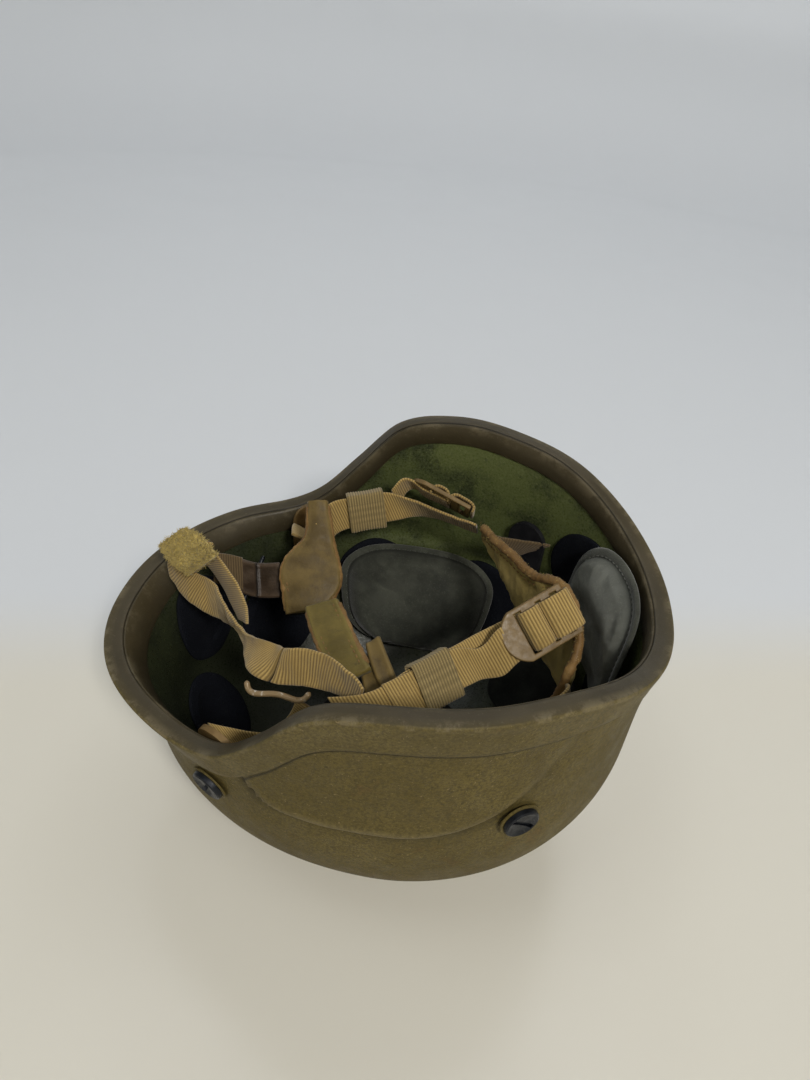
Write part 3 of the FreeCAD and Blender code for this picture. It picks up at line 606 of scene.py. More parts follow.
def bowl_rows(inset, dome_rows, wall_rows, outside):
    """Rings of one face of the shell, from just above the crown to the rim."""
    turn = np.linspace(0, np.pi / 2, dome_rows + 1)[1:]
    dome = DOME - (DOME - inset) * np.cos(turn) ** (2 / ARCH_SIDE)
    rings = [surface(angles, np.full(AROUND, z), inset, outside) for z in dome]
    rim = rim_at(angles) + 0.2
    for share in np.linspace(0, 1, wall_rows + 1)[1:]:
        rings.append(surface(angles, DOME + (rim - DOME) * share, inset, outside))
    return np.array(rings)


def flange_depth(x):
    """How far the trim's outer flange reaches under the rim: deep over the ears."""
    return 12 + 8 * ease((x + 70) / 60) * ease((150 - x) / 70)


def make_shell():
    """The moulded shell, with the ledge under each ear bulge, as one closed mesh."""
    outer = bowl_rows(0, 60, 130, True)
    inner = bowl_rows(WALL, 40, 50, False)
    centre = np.array([SHIFT, 0, 0])
    fade = np.clip(outer[..., 2:] / 30, 0, 1)
    outer += unit(outer - centre - [0, 0, 90]) * wobble(outer, 60, 3)[..., None] * 0.25 * fade
    points = np.concatenate([[centre], outer.reshape(-1, 3), [centre + [0, 0, WALL]],
                             inner.reshape(-1, 3)])
    inner_pole = 1 + outer.shape[0] * AROUND
    faces = [(0, 1 + (c + 1) % AROUND, 1 + c) for c in range(AROUND)]
    faces += grid_faces(outer.shape[0], AROUND, start=1)
    outside_count = len(faces)
    top_out, top_in = 1 + (outer.shape[0] - 1) * AROUND, inner_pole + 1 + (inner.shape[0] - 1) * AROUND
    for c in range(AROUND):
        n = (c + 1) % AROUND
        faces.append((top_out + c, top_out + n, top_in + n, top_in + c))
    faces += [f[::-1] for f in grid_faces(inner.shape[0], AROUND, start=inner_pole + 1)]
    faces += [(inner_pole, inner_pole + 1 + c, inner_pole + 1 + (c + 1) % AROUND) for c in range(AROUND)]
    which = np.ones(len(faces), int)
    which[:outside_count] = 0
    above = above_ledge(points[:, 0], points[:, 2])
    side = ear_share(points[:, 0]) * ease((np.abs(points[:, 1]) - 60) / 25)
    # Painted shade in the ledge's fold, fading below it.
    fold = 0.95 * np.exp(-((above + 1.9) / 1.5) ** 2)
    shade = 0.5 * np.exp(-(np.minimum(above + 3.5, 0) / 3.5) ** 2) * (above < 0)
    crease_shade = np.maximum(fold, shade) * side
    # Painted highlight on the ledge's crest.
    crest = side * np.exp(-((above - 3.0) / 2.2) ** 2)
    below_rim = np.full(len(points), 99.0)  # far, for the points that are not on the outer face
    below_rim[1:inner_pole] = (rim_at(angles) - outer[..., 2] - flange_depth(outer[..., 0])).ravel()
    # Painted shade: a dark line under the trim flange's lower edge.
    crease_shade = np.maximum(crease_shade, 0.9 * np.exp(-((below_rim - 0.5) / 0.8) ** 2))
    make("shell_moulding", points, faces, [PAINT, LINING], stands_for=["shell"],
         which=which, floats={"crease_shade": crease_shade, "corner": crest})
    start = inner_pole + 1
    return BVHTree.FromPolygons(points.tolist(), [f for f in faces if min(f) >= start])


inner_wall = make_shell()

# ---- rim trim


def trim_section(outer):
    """The trim's U section round the rim: (up from the rim, inset, overpainted, corner chips and highlight,
    crease shade). The crease shade is painted shade along the flange's lower edge, in the groove and on the
    inner flange.
    """
    inner, big, small = 11.5, 1.3, 1.5
    rows = [(-outer, -0.25, 1, 0, 0.9), (-outer + 0.4, -0.65, 1, 0.1, 0), (-outer + 2.5, -0.75, 1, 0, 0),
            (-outer * 0.6, -0.95, 1, 0, 0), (-5, -1.2, 1, 0, 0), (-1.9, -RUBBER, 1, 0, 0)]
    for turn in np.radians(np.arange(0, 91, 18)):
        up = RUBBER - big + big * math.sin(turn)
        rows.append((up, big - RUBBER - big * math.cos(turn), 1 if turn < 1.2 else 0.3, 1, 0))
    # The top face ends at its inner edge in a groove with painted shade.
    rows += [(RUBBER + 0.12, 3.4, 0, 0, 0), (RUBBER + 0.12, 5.6, 0, 0, 0), (RUBBER, 7.3, 0, 0.3, 0),
             (RUBBER - 0.10, 7.75, 0, 0, 0.5), (RUBBER - 0.75, 8.0, 0, 0, 1), (RUBBER - 0.75, 8.2, 0, 0, 1)]
    for turn in np.radians(np.arange(90, -1, -30)):
        up = RUBBER - 0.5 - small + small * math.sin(turn)
        rows.append((up, WALL + RUBBER - small * (1 - math.cos(turn)) + 0.1, 0, 0.6, 0))
    # Painted shade on the inner flange.
    rows += [(-inner * 0.5, WALL + RUBBER, 0, 0, 0.3), (-inner + 1.4, WALL + RUBBER - 0.1, 0, 0, 0.45),
             (-inner + 0.3, WALL + RUBBER - 0.5, 0, 0.4, 0), (-inner, WALL + 0.5, 0, 0, 1),
             (-inner, WALL + 0.02, 0, 0, 1), (-inner * 0.5, WALL - 0.6, 0, 0, 1), (-1, WALL - 0.8, 0, 0, 1),
             (-1, 0.8, 1, 0, 1), (-outer * 0.6, 0.5, 1, 0, 1), (-outer, -0.05, 1, 0, 1)]
    return rows


def make_trim():
    """The trim swept round the rim; its outer flange is deep over the ears."""
    rim = rim_at(angles)
    x = surface(angles, rim)[:, 0]
    outer = flange_depth(x)
    sections = np.array([trim_section(depth) for depth in outer]).transpose(1, 0, 2)
    rings = surface(angles[None, :], rim + sections[..., 0], sections[..., 1])
    ripple = wobble(rings, 45, 11)[..., None] * 0.16
    rings += unit(rings - [SHIFT, 0, 130]) * ripple * (sections[..., 1:2] < WALL)
    faces = [f[::-1] for f in grid_faces(len(rings), AROUND, closed=True)]
    make("rim_trim", rings, faces, TRIM, stands_for=["edge_trim"],
         floats={"painted": sections[..., 2], "corner": sections[..., 3], "crease_shade": sections[..., 4]})


make_trim()

# ---- hook discs and pads

DISC_RADIUS, DISC_WALL = 25.0, 1.8
# Compass headings, in degrees from the nape, and heights of the discs' middles.
DISCS = [(169, 84), (187, 44), (145, 57), (215, 57), (108, 80), (68, 78), (252, 80), (292, 78),
         (33, 134), (5, 88), (29, 52)]


def wall_frame(heading, z):
    """A point on the inner wall, with its outward, sideways and upward directions."""
    point = surface_at(heading, z, WALL)
    around = surface_at(heading + 2, z, WALL) - surface_at(heading - 2, z, WALL)
    rise = surface_at(heading, z + 2, WALL) - surface_at(heading, z - 2, WALL)
    out = unit(np.cross(around, rise))
    side = unit(np.cross([0, 0, 1], out))
    return point, out, side, np.cross(out, side)


def on_wall(origin, out):
    """Where a ray from inside the bowl meets the inner wall, and the way back inside."""
    hit, normal, _, _ = inner_wall.ray_cast(Vector(origin - out * 40), Vector(out), 200)
    if hit is None:
        return origin, -out
    normal = np.array(normal)
    return np.array(hit), normal * (-1 if normal @ out > 0 else 1)


def make_discs():
    """Round hook patches that follow the wall."""
    points, faces = [], []
    turns = full_turn(56)
    rings = [(0.02, 1), (0.3, 1), (0.6, 1), (0.85, 1), (0.955, 0.97), (0.99, 0.75), (1.0, 0.3), (0.99, 0.02)]
    for number, (heading, z) in enumerate(DISCS):
        origin, out, side, up = wall_frame(heading, z)
        start = len(points)
        for radius, lift in rings:
            for turn in turns:
                ragged = 1 + 0.006 * math.sin(7 * turn + number) * (radius > 0.9)
                aim = side * math.cos(turn) + up * math.sin(turn)
                hit, inward = on_wall(origin + aim * radius * ragged * DISC_RADIUS, out)
                points.append(hit + inward * (DISC_WALL * lift + 0.15))
        faces += capped_grid(len(rings), len(turns), start)
    make("hook_patches", points, faces, HOOK, stands_for=["hook_discs"])


make_discs()

PAD_BACK, PAD_WALL = 14.3, 15.0
SWELL = 1.5                                 # the cushions' fronts start this much low, then swell
padded_fronts = []


def stitch_mesh(name, lines, look, body="root", length=2.3, gap=1.3, radius=0.3):
    """Rows of thread stitches: each line is its points and the directions out of the cloth."""
    points, faces = [], []
    for path, out in lines:
        path, out = np.asarray(path, float), np.asarray(out, float)
        run = lengths_along(path)
        for at in np.arange(gap, run[-1] - length, length + gap):
            ends = [np.array([np.interp(v, run, path[:, k]) for k in range(3)]) for v in (at, at + length)]
            lift = unit(np.array([np.interp(at + length / 2, run, out[:, k]) for k in range(3)]))
            ahead = unit(ends[1] - ends[0])
            side = np.cross(lift, ahead)
            start = len(points)
            for share, size in ((-0.02, 0.25), (0.2, 1), (0.8, 1), (1.02, 0.25)):
                middle = ends[0] + (ends[1] - ends[0]) * share + lift * radius * 0.5 * (size - 0.4)
                for turn in full_turn(6):
                    spoke = side * math.cos(turn) * 1.2 + lift * math.sin(turn)
                    points.append(middle + spoke * radius * size)
            faces += capped_grid(4, 6, start)
    make(name, points, faces, look, body)


def make_cushion(name, rings, faces, looks, crease_shade, free, which=None):
    """A padded piece on its own body, whose free points are swelled later."""
    pad = make(name + "_cushion", rings, faces, looks, name, [name], {"crease_shade": crease_shade}, which)
    held = np.ones(len(pad.data.vertices))
    held[free] = 0
    padded_fronts.append((pad, held))


def wall_pad(name, headings, heights, looks, power, crown=1.0, taper=0.0, flange=0.84):
    """A foam pad against the wall: a crowned cushion inside a flat stitched flange, each with its look."""
    middle_h, half_h = sum(headings) / 2, (headings[1] - headings[0]) / 2
    middle_z, half_z = sum(heights) / 2, (heights[1] - heights[0]) / 2
    turns = full_turn(112)
    u, v = squircle(turns, power)
    front = [0.03, 0.12, 0.22, 0.32, 0.42, 0.51, 0.59, 0.66, 0.72, 0.77, 0.81, flange - 0.01, flange,
             flange + 0.02, flange + 0.035, 0.975, 0.995]
    back = [1.0, 0.99, 0.9, 0.6, 0.3, 0.03]
    rings, crease_shade = [], []
    for number, radius in enumerate(front + back):
        narrow = 1 - taper * v * radius
        heading, z = middle_h + u * radius * narrow * half_h, middle_z + v * radius * half_z
        if number < len(front):
            dome = max(1 - (radius / flange) ** 5, 0) ** 0.42 if radius < flange else 0
            thick = 2.4 + (PAD_WALL * crown - 2.4 - SWELL) * dome * (1 - 0.10 * (radius / flange) ** 2)
            thick *= 0.55 if radius > 0.99 else 1
            pucker = 0.25 * math.exp(-((radius - 0.80) / 0.05) ** 2)
            inset = PAD_BACK + thick + pucker * np.sin(turns * 31 + 2 * np.sin(3 * turns))
        else:
            inset = PAD_BACK + (0.6 if radius > 0.995 else 0.1) + 0 * turns
        rings.append(surface_at(heading, z, inset))
        # Painted shade in the seam round the flange.
        crease_shade.append(np.full(len(turns), math.exp(-((radius - flange) / 0.012) ** 2) * 0.9
                              if number < len(front) else 0.0))
    rings = np.array(rings)
    slump = wobble(rings, 34, 5) * 0.5 + wobble(rings, 13, 6) * 0.18
    lift = unit(np.array([SHIFT, 0, 120]) - rings)
    share = np.array([1.0 if k < len(front) - 4 else 0.25 for k in range(len(rings))])
    rings += lift * (slump * share[:, None])[..., None]
    faces = capped_grid(len(rings), len(turns))
    seam = front.index(flange)
    which = np.array([f[0] // len(turns) >= seam for f in faces]).astype(int)
    free = slice(0, seam * len(turns))
    make_cushion(name, rings, [f[::-1] for f in faces], looks, np.array(crease_shade), free, which)
    path = closed_loop((rings[seam + 1] + rings[seam + 2]) / 2)
    out = unit(np.array([SHIFT, 0, 120]) - path)
    stitch_mesh(name + "_stitching", [(path + out * 0.25, out)], looks[0], name, 2.0, 1.4, 0.26)


wall_pad("left_side_pad", (61, 122), (42, 106), [DARK_FELT, DARK_FELT], 3.6, flange=0.92)
wall_pad("right_side_pad", (238, 299), (42, 106), [DARK_FELT, DARK_FELT], 3.6, flange=0.92)
wall_pad("rear_pad", (-12, 34), (98, 170), [LIGHT_FELT, DARK_FELT], 3.2, 0.94, 0.10, 0.87)
# The lower rear pad wears the darkened cloth: painted shade.
wall_pad("lower_rear_pad", (8, 50), (38, 80), [SHADED_DEEP_FELT, SHADED_DEEP_FELT], 3.0)


def make_crown_pad():
    """The round crown pad, crowned on top, with a seam round its side."""
    turns = full_turn(120)
    outline = [(1.5, 13.4), (14, 13.3), (26, 13.8), (38, 17.2), (45, 20.5), (49.4, 24.6), (50.6, 26.6),
               (51.2, 27.2), (50.5, 27.8), (50.0, 29.4), (48.0, 32.0), (44.0, 34.0), (37, 35.0), (26, 35.3),
               (14, 35.2), (1.5, 34.9)]
    rings = []
    for radius, z in outline:
        spread = radius * (1 + 0.008 * np.sin(5 * turns + 1))
        x, y = SHIFT - 2 + spread * np.cos(turns), spread * np.sin(turns)
        rings.append(np.stack([x, y, np.full(len(turns), z)], -1))
    rings = np.array(rings)
    rings[8:, :, 2] += wobble(rings[8:], 26, 21) * 0.5 - 0.2
    # Painted shade in the side seam.
    seam = np.array([math.exp(-((z - 27.2) / 0.45) ** 2) for _, z in outline])
    faces = capped_grid(len(rings), len(turns))
    free = slice(9 * len(turns), None)
    crease_shade = np.repeat(seam * 0.8, len(turns))
    # The crown pad wears the darkened cloth: painted shade.
    make_cushion("crown_pad", rings, faces, SHADED_DEEP_FELT, crease_shade, free)
    path = closed_loop(rings[9] + [0, 0, 0.2])
    out = unit(path - [SHIFT - 2, 0, 29])
    stitch_mesh("crown_pad_stitching", [(path + out * 0.2, out)], DARK_FELT, "crown_pad")


make_crown_pad()


def swell(pads, frames=20, cap=2.2):
    """Swells the free front of every pad with Cloth pressure, its flange and back held."""
    scene = bpy.context.scene
    scene.frame_start, scene.frame_end = 1, frames
    for pad, held in pads:
        group = pad.vertex_groups.new(name="held")
        group.add([k for k, share in enumerate(held.tolist()) if share > 0.5], 1.0, "REPLACE")
        cloth = pad.modifiers.new("cloth", "CLOTH")
        cloth.settings.quality = 7
        cloth.settings.mass = 0.12
        cloth.settings.tension_stiffness = cloth.settings.compression_stiffness = 9
        cloth.settings.shear_stiffness = 5
        cloth.settings.bending_stiffness = 0.25
        cloth.settings.shrink_min = -0.012
        cloth.settings.use_pressure = True
        cloth.settings.uniform_pressure_force = 4
        cloth.settings.vertex_group_mass = "held"
        cloth.settings.effector_weights.gravity = 0
        cloth.point_cache.frame_end = frames
    for number in range(1, frames + 1):
        scene.frame_set(number)
    settled = bpy.context.evaluated_depsgraph_get()
    for pad, held in pads:
        before, after = (np.empty(len(pad.data.vertices) * 3, np.float32) for _ in range(2))
        pad.data.vertices.foreach_get("co", before)
        pad.evaluated_get(settled).data.vertices.foreach_get("co", after)
        move = (after - before).reshape(-1, 3) / MM
        size = np.linalg.norm(move, axis=1, keepdims=True)
        move *= np.minimum(1, cap / np.maximum(size, 1e-6)) * (1 - held[:, None])
        pad.modifiers.remove(pad.modifiers["cloth"])
        pad.vertex_groups.remove(pad.vertex_groups["held"])
        pad.data.vertices.foreach_set("co", (before + move.ravel() * MM).astype(np.float32))
        pad.data.update()
    scene.frame_set(1)


swell(padded_fronts)

# ---- straps

STRAP_WIDTH = 20.0


def spline(knots, values, at):
    """A natural cubic spline through values at knots, evaluated at at."""
    knots, values = np.asarray(knots, float), np.asarray(values, float)
    count, step = len(knots), np.diff(knots)
    if count == 2:
        share = ((at - knots[0]) / step[0])[:, None]
        return values[0] + (values[1] - values[0]) * share
    system, right = np.eye(count), np.zeros((count, values.shape[1]))
    for k in range(1, count - 1):
        system[k, k - 1:k + 2] = step[k - 1], 2 * (step[k - 1] + step[k]), step[k]
        right[k] = 6 * ((values[k + 1] - values[k]) / step[k] - (values[k] - values[k - 1]) / step[k - 1])
    bend = np.linalg.solve(system, right)
    k = np.clip(np.searchsorted(knots, at, side="right") - 1, 0, count - 2)
    size = step[k][:, None]
    a, b = (knots[k + 1] - at)[:, None] / size, (at - knots[k])[:, None] / size
    curve = a * values[k] + b * values[k + 1]
    return curve + ((a ** 3 - a) * bend[k] + (b ** 3 - b) * bend[k + 1]) * size ** 2 / 6


class Ribbon:
    """A strap's run: centres, sideways and outward directions, and half widths along it.

    A station is a centre, a direction across the strap, and a width if it is not the webbing's own.
    """

    def __init__(self, stations, step):
        centres = np.array([centre for centre, *_ in stations], float)
        sides = np.array([unit(side) * (width[0] if width else STRAP_WIDTH) for _, side, *width in stations])
        knots = lengths_along(centres)
        self.run = np.linspace(0, knots[-1], int(knots[-1] / step) + 2)
        self.centre = spline(knots, centres, self.run)
        side = spline(knots, sides, self.run)
        self.half = np.linalg.norm(side, axis=1) / 2
        self.out = unit(np.cross(np.gradient(self.centre, axis=0), side))
        self.side = unit(side)

    def line(self, side, margin, lift, first):
        """A line in from the edge on side -1 or 1, at a height, that starts and ends a share short."""
        keep = (self.run >= first * self.run[-1]) & (self.run <= (1 - first) * self.run[-1])
        across = self.side[keep] * (side * (self.half[keep] - margin))[:, None]
        return self.centre[keep] + across + self.out[keep] * lift, self.out[keep]


# Places across a strap, as shares of its half width.
ACROSS = np.array([-1, -0.985, -0.94, -0.85, -0.7, -0.5, -0.25, 0, 0.25, 0.5, 0.7, 0.85, 0.94, 0.985, 1])


def swept(name, stations, look, slot, stands_for=(), body="root", wall=1.6, rib=0.0, rounding=0.9, bead=0.0,
          belly=0.0, creases=(), rumple=0.25, seed=1):
    """A strap: ribs cross its run, a bead thickens its edges, a belly its middle.

    Each entry of creases is its place, as a share of the run, and its depth; painted shade darkens its
    groove.
    """
    ribbon = Ribbon(stations, 0.3 if rib else 0.8)
    run, half = ribbon.run[:, None], ribbon.half[:, None]
    share = np.concatenate([ACROSS, ACROSS[-2:0:-1]])[None, :]
    sign = np.concatenate([np.ones(len(ACROSS)), -np.ones(len(ACROSS) - 2)])[None, :]
    edge = half * (1 - np.abs(share))
    full = np.sqrt(1 - (1 - np.clip(edge / rounding, 0, 1)) ** 2)
    inner = np.clip((edge - 0.7) / 1.2, 0, 1)
    thick = (wall / 2 + belly * (1 - share ** 2)) * full + rib * np.cos(2 * np.pi * run / RIB_PITCH) * inner
    if bead:
        groove = 0.5 * np.exp(-((edge - 3.4) / 0.8) ** 2)
        thick = thick + bead * (np.exp(-(edge - 1.3) ** 2) - groove)
        thick = np.where(edge < 1e-6, 0, thick)
    rise, crease_shade = np.zeros(edge.shape), np.zeros(edge.shape)
    for place, depth in creases:
        groove = np.exp(-((run - place * ribbon.run[-1]) / 0.75) ** 2)
        rise = rise - depth * groove
        # Painted shade in the crease's groove.
        crease_shade = np.maximum(crease_shade, groove)
    centre = ribbon.centre[:, None, :] + ribbon.side[:, None, :] * (half * share)[..., None]
    rise = rise + rumple * wobble(centre, 17, seed) + 0.4 * rumple * wobble(centre, 6, seed + 50)
    points = centre + ribbon.out[:, None, :] * (sign * thick + rise)[..., None]
    faces = capped_grid(*points.shape[:2])
    floats = {"along": run + 0 * share, "across": half * share, "crease_shade": crease_shade,
              "edge": np.exp(-((edge - 1.2) / 1.1) ** 2)}
    piece = make(name, points, faces, look, body, stands_for, floats)
    return piece, ribbon


def web(name, stations, **more):
    """A piece of ribbed webbing."""
    settings = dict(look=WEBBING, slot="webbing_tan", rib=0.17, rumple=0.3)
    settings.update(more)
    return swept(name, stations, **settings)


def tube(name, path, radius, look, stands_for=(), rough=0.0):
    """A round rod or rolled edge along a path."""
    knots = lengths_along(path)
    run = np.linspace(0, knots[-1], int(knots[-1] / 0.7) + 3)
    centre = spline(knots, path, run)
    ahead = unit(np.gradient(centre, axis=0))
    side = unit(np.cross(ahead, [0.31, 0.22, 0.93]))
    up = np.cross(side, ahead)
    turns = full_turn(14)
    end = np.minimum(run, run[-1] - run)
    size = radius * np.sqrt(1 - (1 - np.clip(end / radius, 0.02, 1)) ** 2)
    spokes = side[:, None] * np.cos(turns)[None, :, None] + up[:, None] * np.sin(turns)[None, :, None]
    points = centre[:, None] + spokes * size[:, None, None]
    if rough:
        points += spokes * (rough * (wobble(points, 5, 31) + 0.7 * wobble(points, 2.2, 32)))[..., None]
    floats = {"along": np.repeat(run, len(turns)), "across": np.tile(turns * radius, len(run))}
    make(name, points, capped_grid(len(run), len(turns)), look, "root", stands_for, floats)


def fibres(name, roots, outs, length, radius, look, body="root", lean=0.6, seed=4):
    """Short bent hairs from roots, as thin closed spikes."""
    random = np.random.default_rng(seed)
    points, faces = [], []
    for root, out in zip(roots, outs):
        tall = length * random.uniform(0.5, 1.25)
        aim = unit(out + random.normal(size=3) * lean * 0.5)
        bend = unit(aim + random.normal(size=3) * lean)
        side = unit(np.cross(aim, random.normal(size=3)))
        other = np.cross(aim, side)
        middle = root + aim * tall * 0.55
        start = len(points)
        for centre, size in ((root - aim * 0.3, 1.0), (middle, 0.75)):
            for turn in full_turn(3):
                points.append(centre + (side * math.cos(turn) + other * math.sin(turn)) * radius * size)
        points.append(middle + bend * tall * 0.45)
        faces += [(start + 2, start + 1, start)]
        for k in range(3):
            n = (k + 1) % 3
            faces.append((start + k, start + n, start + 3 + n, start + 3 + k))
            faces.append((start + 3 + k, start + 3 + n, start + 6))
    make(name, points, faces, look, body)


CHAIN = (-11, 6, 13)                        # across the right adjuster
web("right_adjuster_webbing", [
    ((95, 1, 161), CHAIN), ((78, -12, 155), CHAIN), ((60, -28, 153), CHAIN),
    ((41, -48.5, 153), CHAIN), ((25, -65.8, 153), CHAIN),
    ((12, -79, 153), CHAIN, 18), ((-5, -84, 151), CHAIN, 18),
], stands_for=["right_adjuster_strap"], seed=2)
tail, _ = web("right_tail_webbing", [
    ((68, -29.5, 160), CHAIN, 19), ((63, -35, 158.5), CHAIN, 19),
    ((59.5, -38, 154), CHAIN, 18), ((55, -40.5, 152.6), (-10, 4, 14), 17),
    ((50, -43, 153.6), (-10, 4, 14), 18), ((45.5, -46.4, 154.6), CHAIN, 19),
    ((41, -50.6, 154.7), CHAIN, 19), ((25, -67.9, 154.7), CHAIN, 19),
    ((17, -76, 155), CHAIN, 19),
], body=None, stands_for=["right_strap_tail"], rumple=0.12, seed=3)
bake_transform(tail)
web("left_adjuster_webbing", [
    ((-43, 52, 140), (-7, -8, 16)), ((-41, 59, 143), (-8, -3, 17)),
    ((-34, 66, 145), (-9, 1, 18)), ((-29, 67.85, 145.8), (-9, 1, 18)),
    ((-24, 69.7, 146.6), (-9, 1, 18)), ((-14, 73.4, 148.2), (-9, 1, 18)),
    ((-9, 75.25, 149), (-9, 1, 18)), ((2, 78, 149), (-6, -7, 17)),
    ((26, 76, 147), (-2, -13, 15)), ((43, 70, 147), (-2, -13, 15)),
], stands_for=["left_adjuster_strap"], seed=5)
fold, _ = web("left_fold_webbing", [
    ((-6.5, 78.5, 152.5), (-7, -3, 18), 15), ((-5, 81, 156.5), (-5, -8, 16), 15),
    ((-1.5, 84, 160.5), (-4, -10, 16), 15), ((3, 85, 160.5), (-3, -12, 15), 15),
    ((8, 84.5, 157.5), (-3, -12, 15), 16), ((16, 82.5, 155.5), (-3, -12, 15), 16),
    ((24, 80, 154), (-3, -12, 15), 16),
], body=None, stands_for=["left_strap_fold"], seed=6)
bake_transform(fold)
web("right_front_webbing", [
    ((-59, -82, 116), (12, -5, -11)), ((-47, -78, 109.5), (10, -4, -13)),
    ((-35, -77, 109.5), (10, -4, -13)), ((-26, -75, 119), (12, -5, -11), 18),
    ((-23, -73, 129), (11, -3, -8), 14), ((-22, -71, 138), (10, -1, -6), 11),
], stands_for=["right_front_strap"], seed=7)
web("left_front_webbing", [
    ((-60, 81, 116), (13, 4, -10)), ((-58, 72, 121), (14, 3, -9)),
    ((-55, 60, 125), (14, 3, -8)),
], stands_for=["left_front_strap"], seed=8)
web("right_rear_webbing", [
    ((80, -80, 132), (15, 6, -10)), ((86, -68, 138), (14, 7, -12)),
    ((92, -52, 140), (9, 5, -16)), ((97, -40, 139), (4, 3, -19)),
    ((96.5, -34, 135), (4, 3, -19), 18),
], stands_for=["right_rear_strap"], seed=9)
# The left rear strap wears the darkened webbing: painted shade.
web("left_rear_webbing", [
    ((80, 80, 132), (14, -4, 12)), ((70, 79, 131), (8, -2, 17), 17),
    ((58, 75, 134), (2, 0, 19), 13), ((49, 71, 141), (0, -4, 10), 11),
], stands_for=["left_rear_strap"], look=SHADED_WEBBING, seed=10)
web("chin_front_webbing", [
    ((-104, 25, 138.5), (14, -9, 11)), ((-112, 22.5, 139), (13, -8, 12)),
    ((-117.5, 18.5, 134.5), (12, -6, 14)), ((-116, 14, 128), (11, -5, 15)),
    ((-96, 2, 124), (6, 4, 18)), ((-80, -12, 126), (4, -7, 17)),
    ((-66, -28, 132), (10, -13, 12)), ((-55, -42, 138), (11, -4, 15)),
    ((-45, -54, 143), (12, 8, 13)), ((-34, -60, 148), (0, 5, 19)),
    ((-24, -61, 151), (0, 4, 19)), ((-13, -65, 153), (2, 2, 19)),
    ((-4, -70, 154), (2, -3, 19)), ((3, -76, 153.5), (2, -3, 19), 17),
], stands_for=["chin_strap"], creases=[(0.735, 1.6)], rumple=0.75, seed=12)
web("chin_return_webbing", [
    ((-104, 24, 135.5), (14, -9, 11)), ((-90, 13, 131), (12, -10, 12)),
    ((-78, 0, 127), (13, -11, 12)), ((-69, -16, 127), (9, -13, 11)),
], stands_for=["chin_strap_return"], rib=0.06, seed=13)
swept("left_link_leather", [
    ((-62, 28, 120), (-4, 12, 16)), ((-76, 28, 117), (-4, 12, 16)),
    ((-86, 29.5, 117), (-4, 12, 16)),
], BROWN_LEATHER, "leather_brown", ["left_chin_link"], wall=2.4, rounding=1.3, bead=0.5,
    creases=[(0.52, 1.4)], seed=14)
# This webbing wears the darkened copy: painted shade.
web("left_link_webbing", [
    ((-84, 29.2, 118.5), (-4, 12, 16), 19), ((-92, 30, 118.5), (-4, 12, 16), 19),
    ((-101, 30, 119), (-3, 13, 15), 17),
], look=SHADED_WEBBING, seed=15)

# ---- chin patch

_, patch_run = swept("chin_patch_backing", [
    ((-118, 16.5, 148), (13, 9, 10), 16), ((-113, 14.5, 146), (13, 9, 10), 20),
    ((-107, 11.5, 143.6), (13, 9, 10), 21), ((-98, 7, 140), (13, 9, 10), 18),
], PILE, "pile_tan", ["chin_strap_patch"], "chin_patch", wall=4.6, rounding=2.6, rumple=0.5, seed=16)


def make_pile():
    """Fibre all over the patch."""
    count = 4200
    picked = rng.integers(0, len(patch_run.run), count)
    share = rng.uniform(-1, 1, count)
    upper = np.where(rng.uniform(size=count) < 0.75, 1.0, -1.0)
    rim = np.abs(share) > 0.86
    edge = patch_run.half[picked] * (1 - np.abs(share))
    lift = 2.3 * np.sqrt(1 - (1 - np.clip(edge / 2.6, 0, 1)) ** 2)
    roots = patch_run.centre[picked] + patch_run.side[picked] * (patch_run.half[picked] * share)[:, None]
    roots += patch_run.out[picked] * (lift * upper)[:, None]
    outs = patch_run.out[picked] * upper[:, None]
    outs = unit(outs + patch_run.side[picked] * (np.sign(share) * rim * 1.2)[:, None])
    fibres("chin_patch_pile", roots, outs, 2.6, 0.15, PILE, "chin_patch", 0.9)


make_pile()

# ---- leather yokes and nape band

_, yoke_run = swept("left_yoke_leather", [
    ((-49, 61, 154), (16, 3, 2), 12), ((-45.5, 51, 146), (19, 4, 3), 14),
    ((-44, 43, 140), (19, 3, 1), 18), ((-45, 33, 134), (32, 4, 2), 30),
    ((-42, 18, 122.5), (30, 5, 4), 30), ((-43.5, 9.5, 116), (14, 3, 3), 20),
], TAN_LEATHER, "leather_tan", ["left_yoke"], wall=3.8, rounding=2.0, bead=0.5, belly=1.9, rumple=0.6,
    seed=17)
_, right_yoke_run = swept("right_yoke_leather", [
    ((-27, -21, 153), (13, 5, 4), 17), ((-21, -32, 152), (13, 5, 4), 18),
    ((-14, -44, 151), (12, 5, 4), 18), ((-7, -54, 151), (10, 4, 5), 17),
    ((-2, -61, 151), (9, 4, 5), 16),
], OLIVE_LEATHER, "leather_olive", ["right_yoke"], wall=3.4, rounding=1.8, bead=0.5, belly=0.7, rumple=0.4,
    seed=18)
FLAPS = [
    [((2, -40, 153.5), (5, 3, 3), 8), ((8, -52, 151.5), (7, 3, 3), 9),
     ((14, -60, 147), (8, 3, 3), 9)],
    [((0, -46, 148), (5, 3, 3), 8), ((5, -57, 146), (7, 3, 3), 9),
     ((9, -66, 141), (8, 3, 3), 9)],
]
for number, stations in enumerate(FLAPS, start=1):
    swept("right_yoke_flap_%d" % number, stations, TAN_LEATHER, "leather_tan",
          ["right_yoke_flaps"], wall=2.6, rounding=1.2, bead=0.4, seed=18 + number)

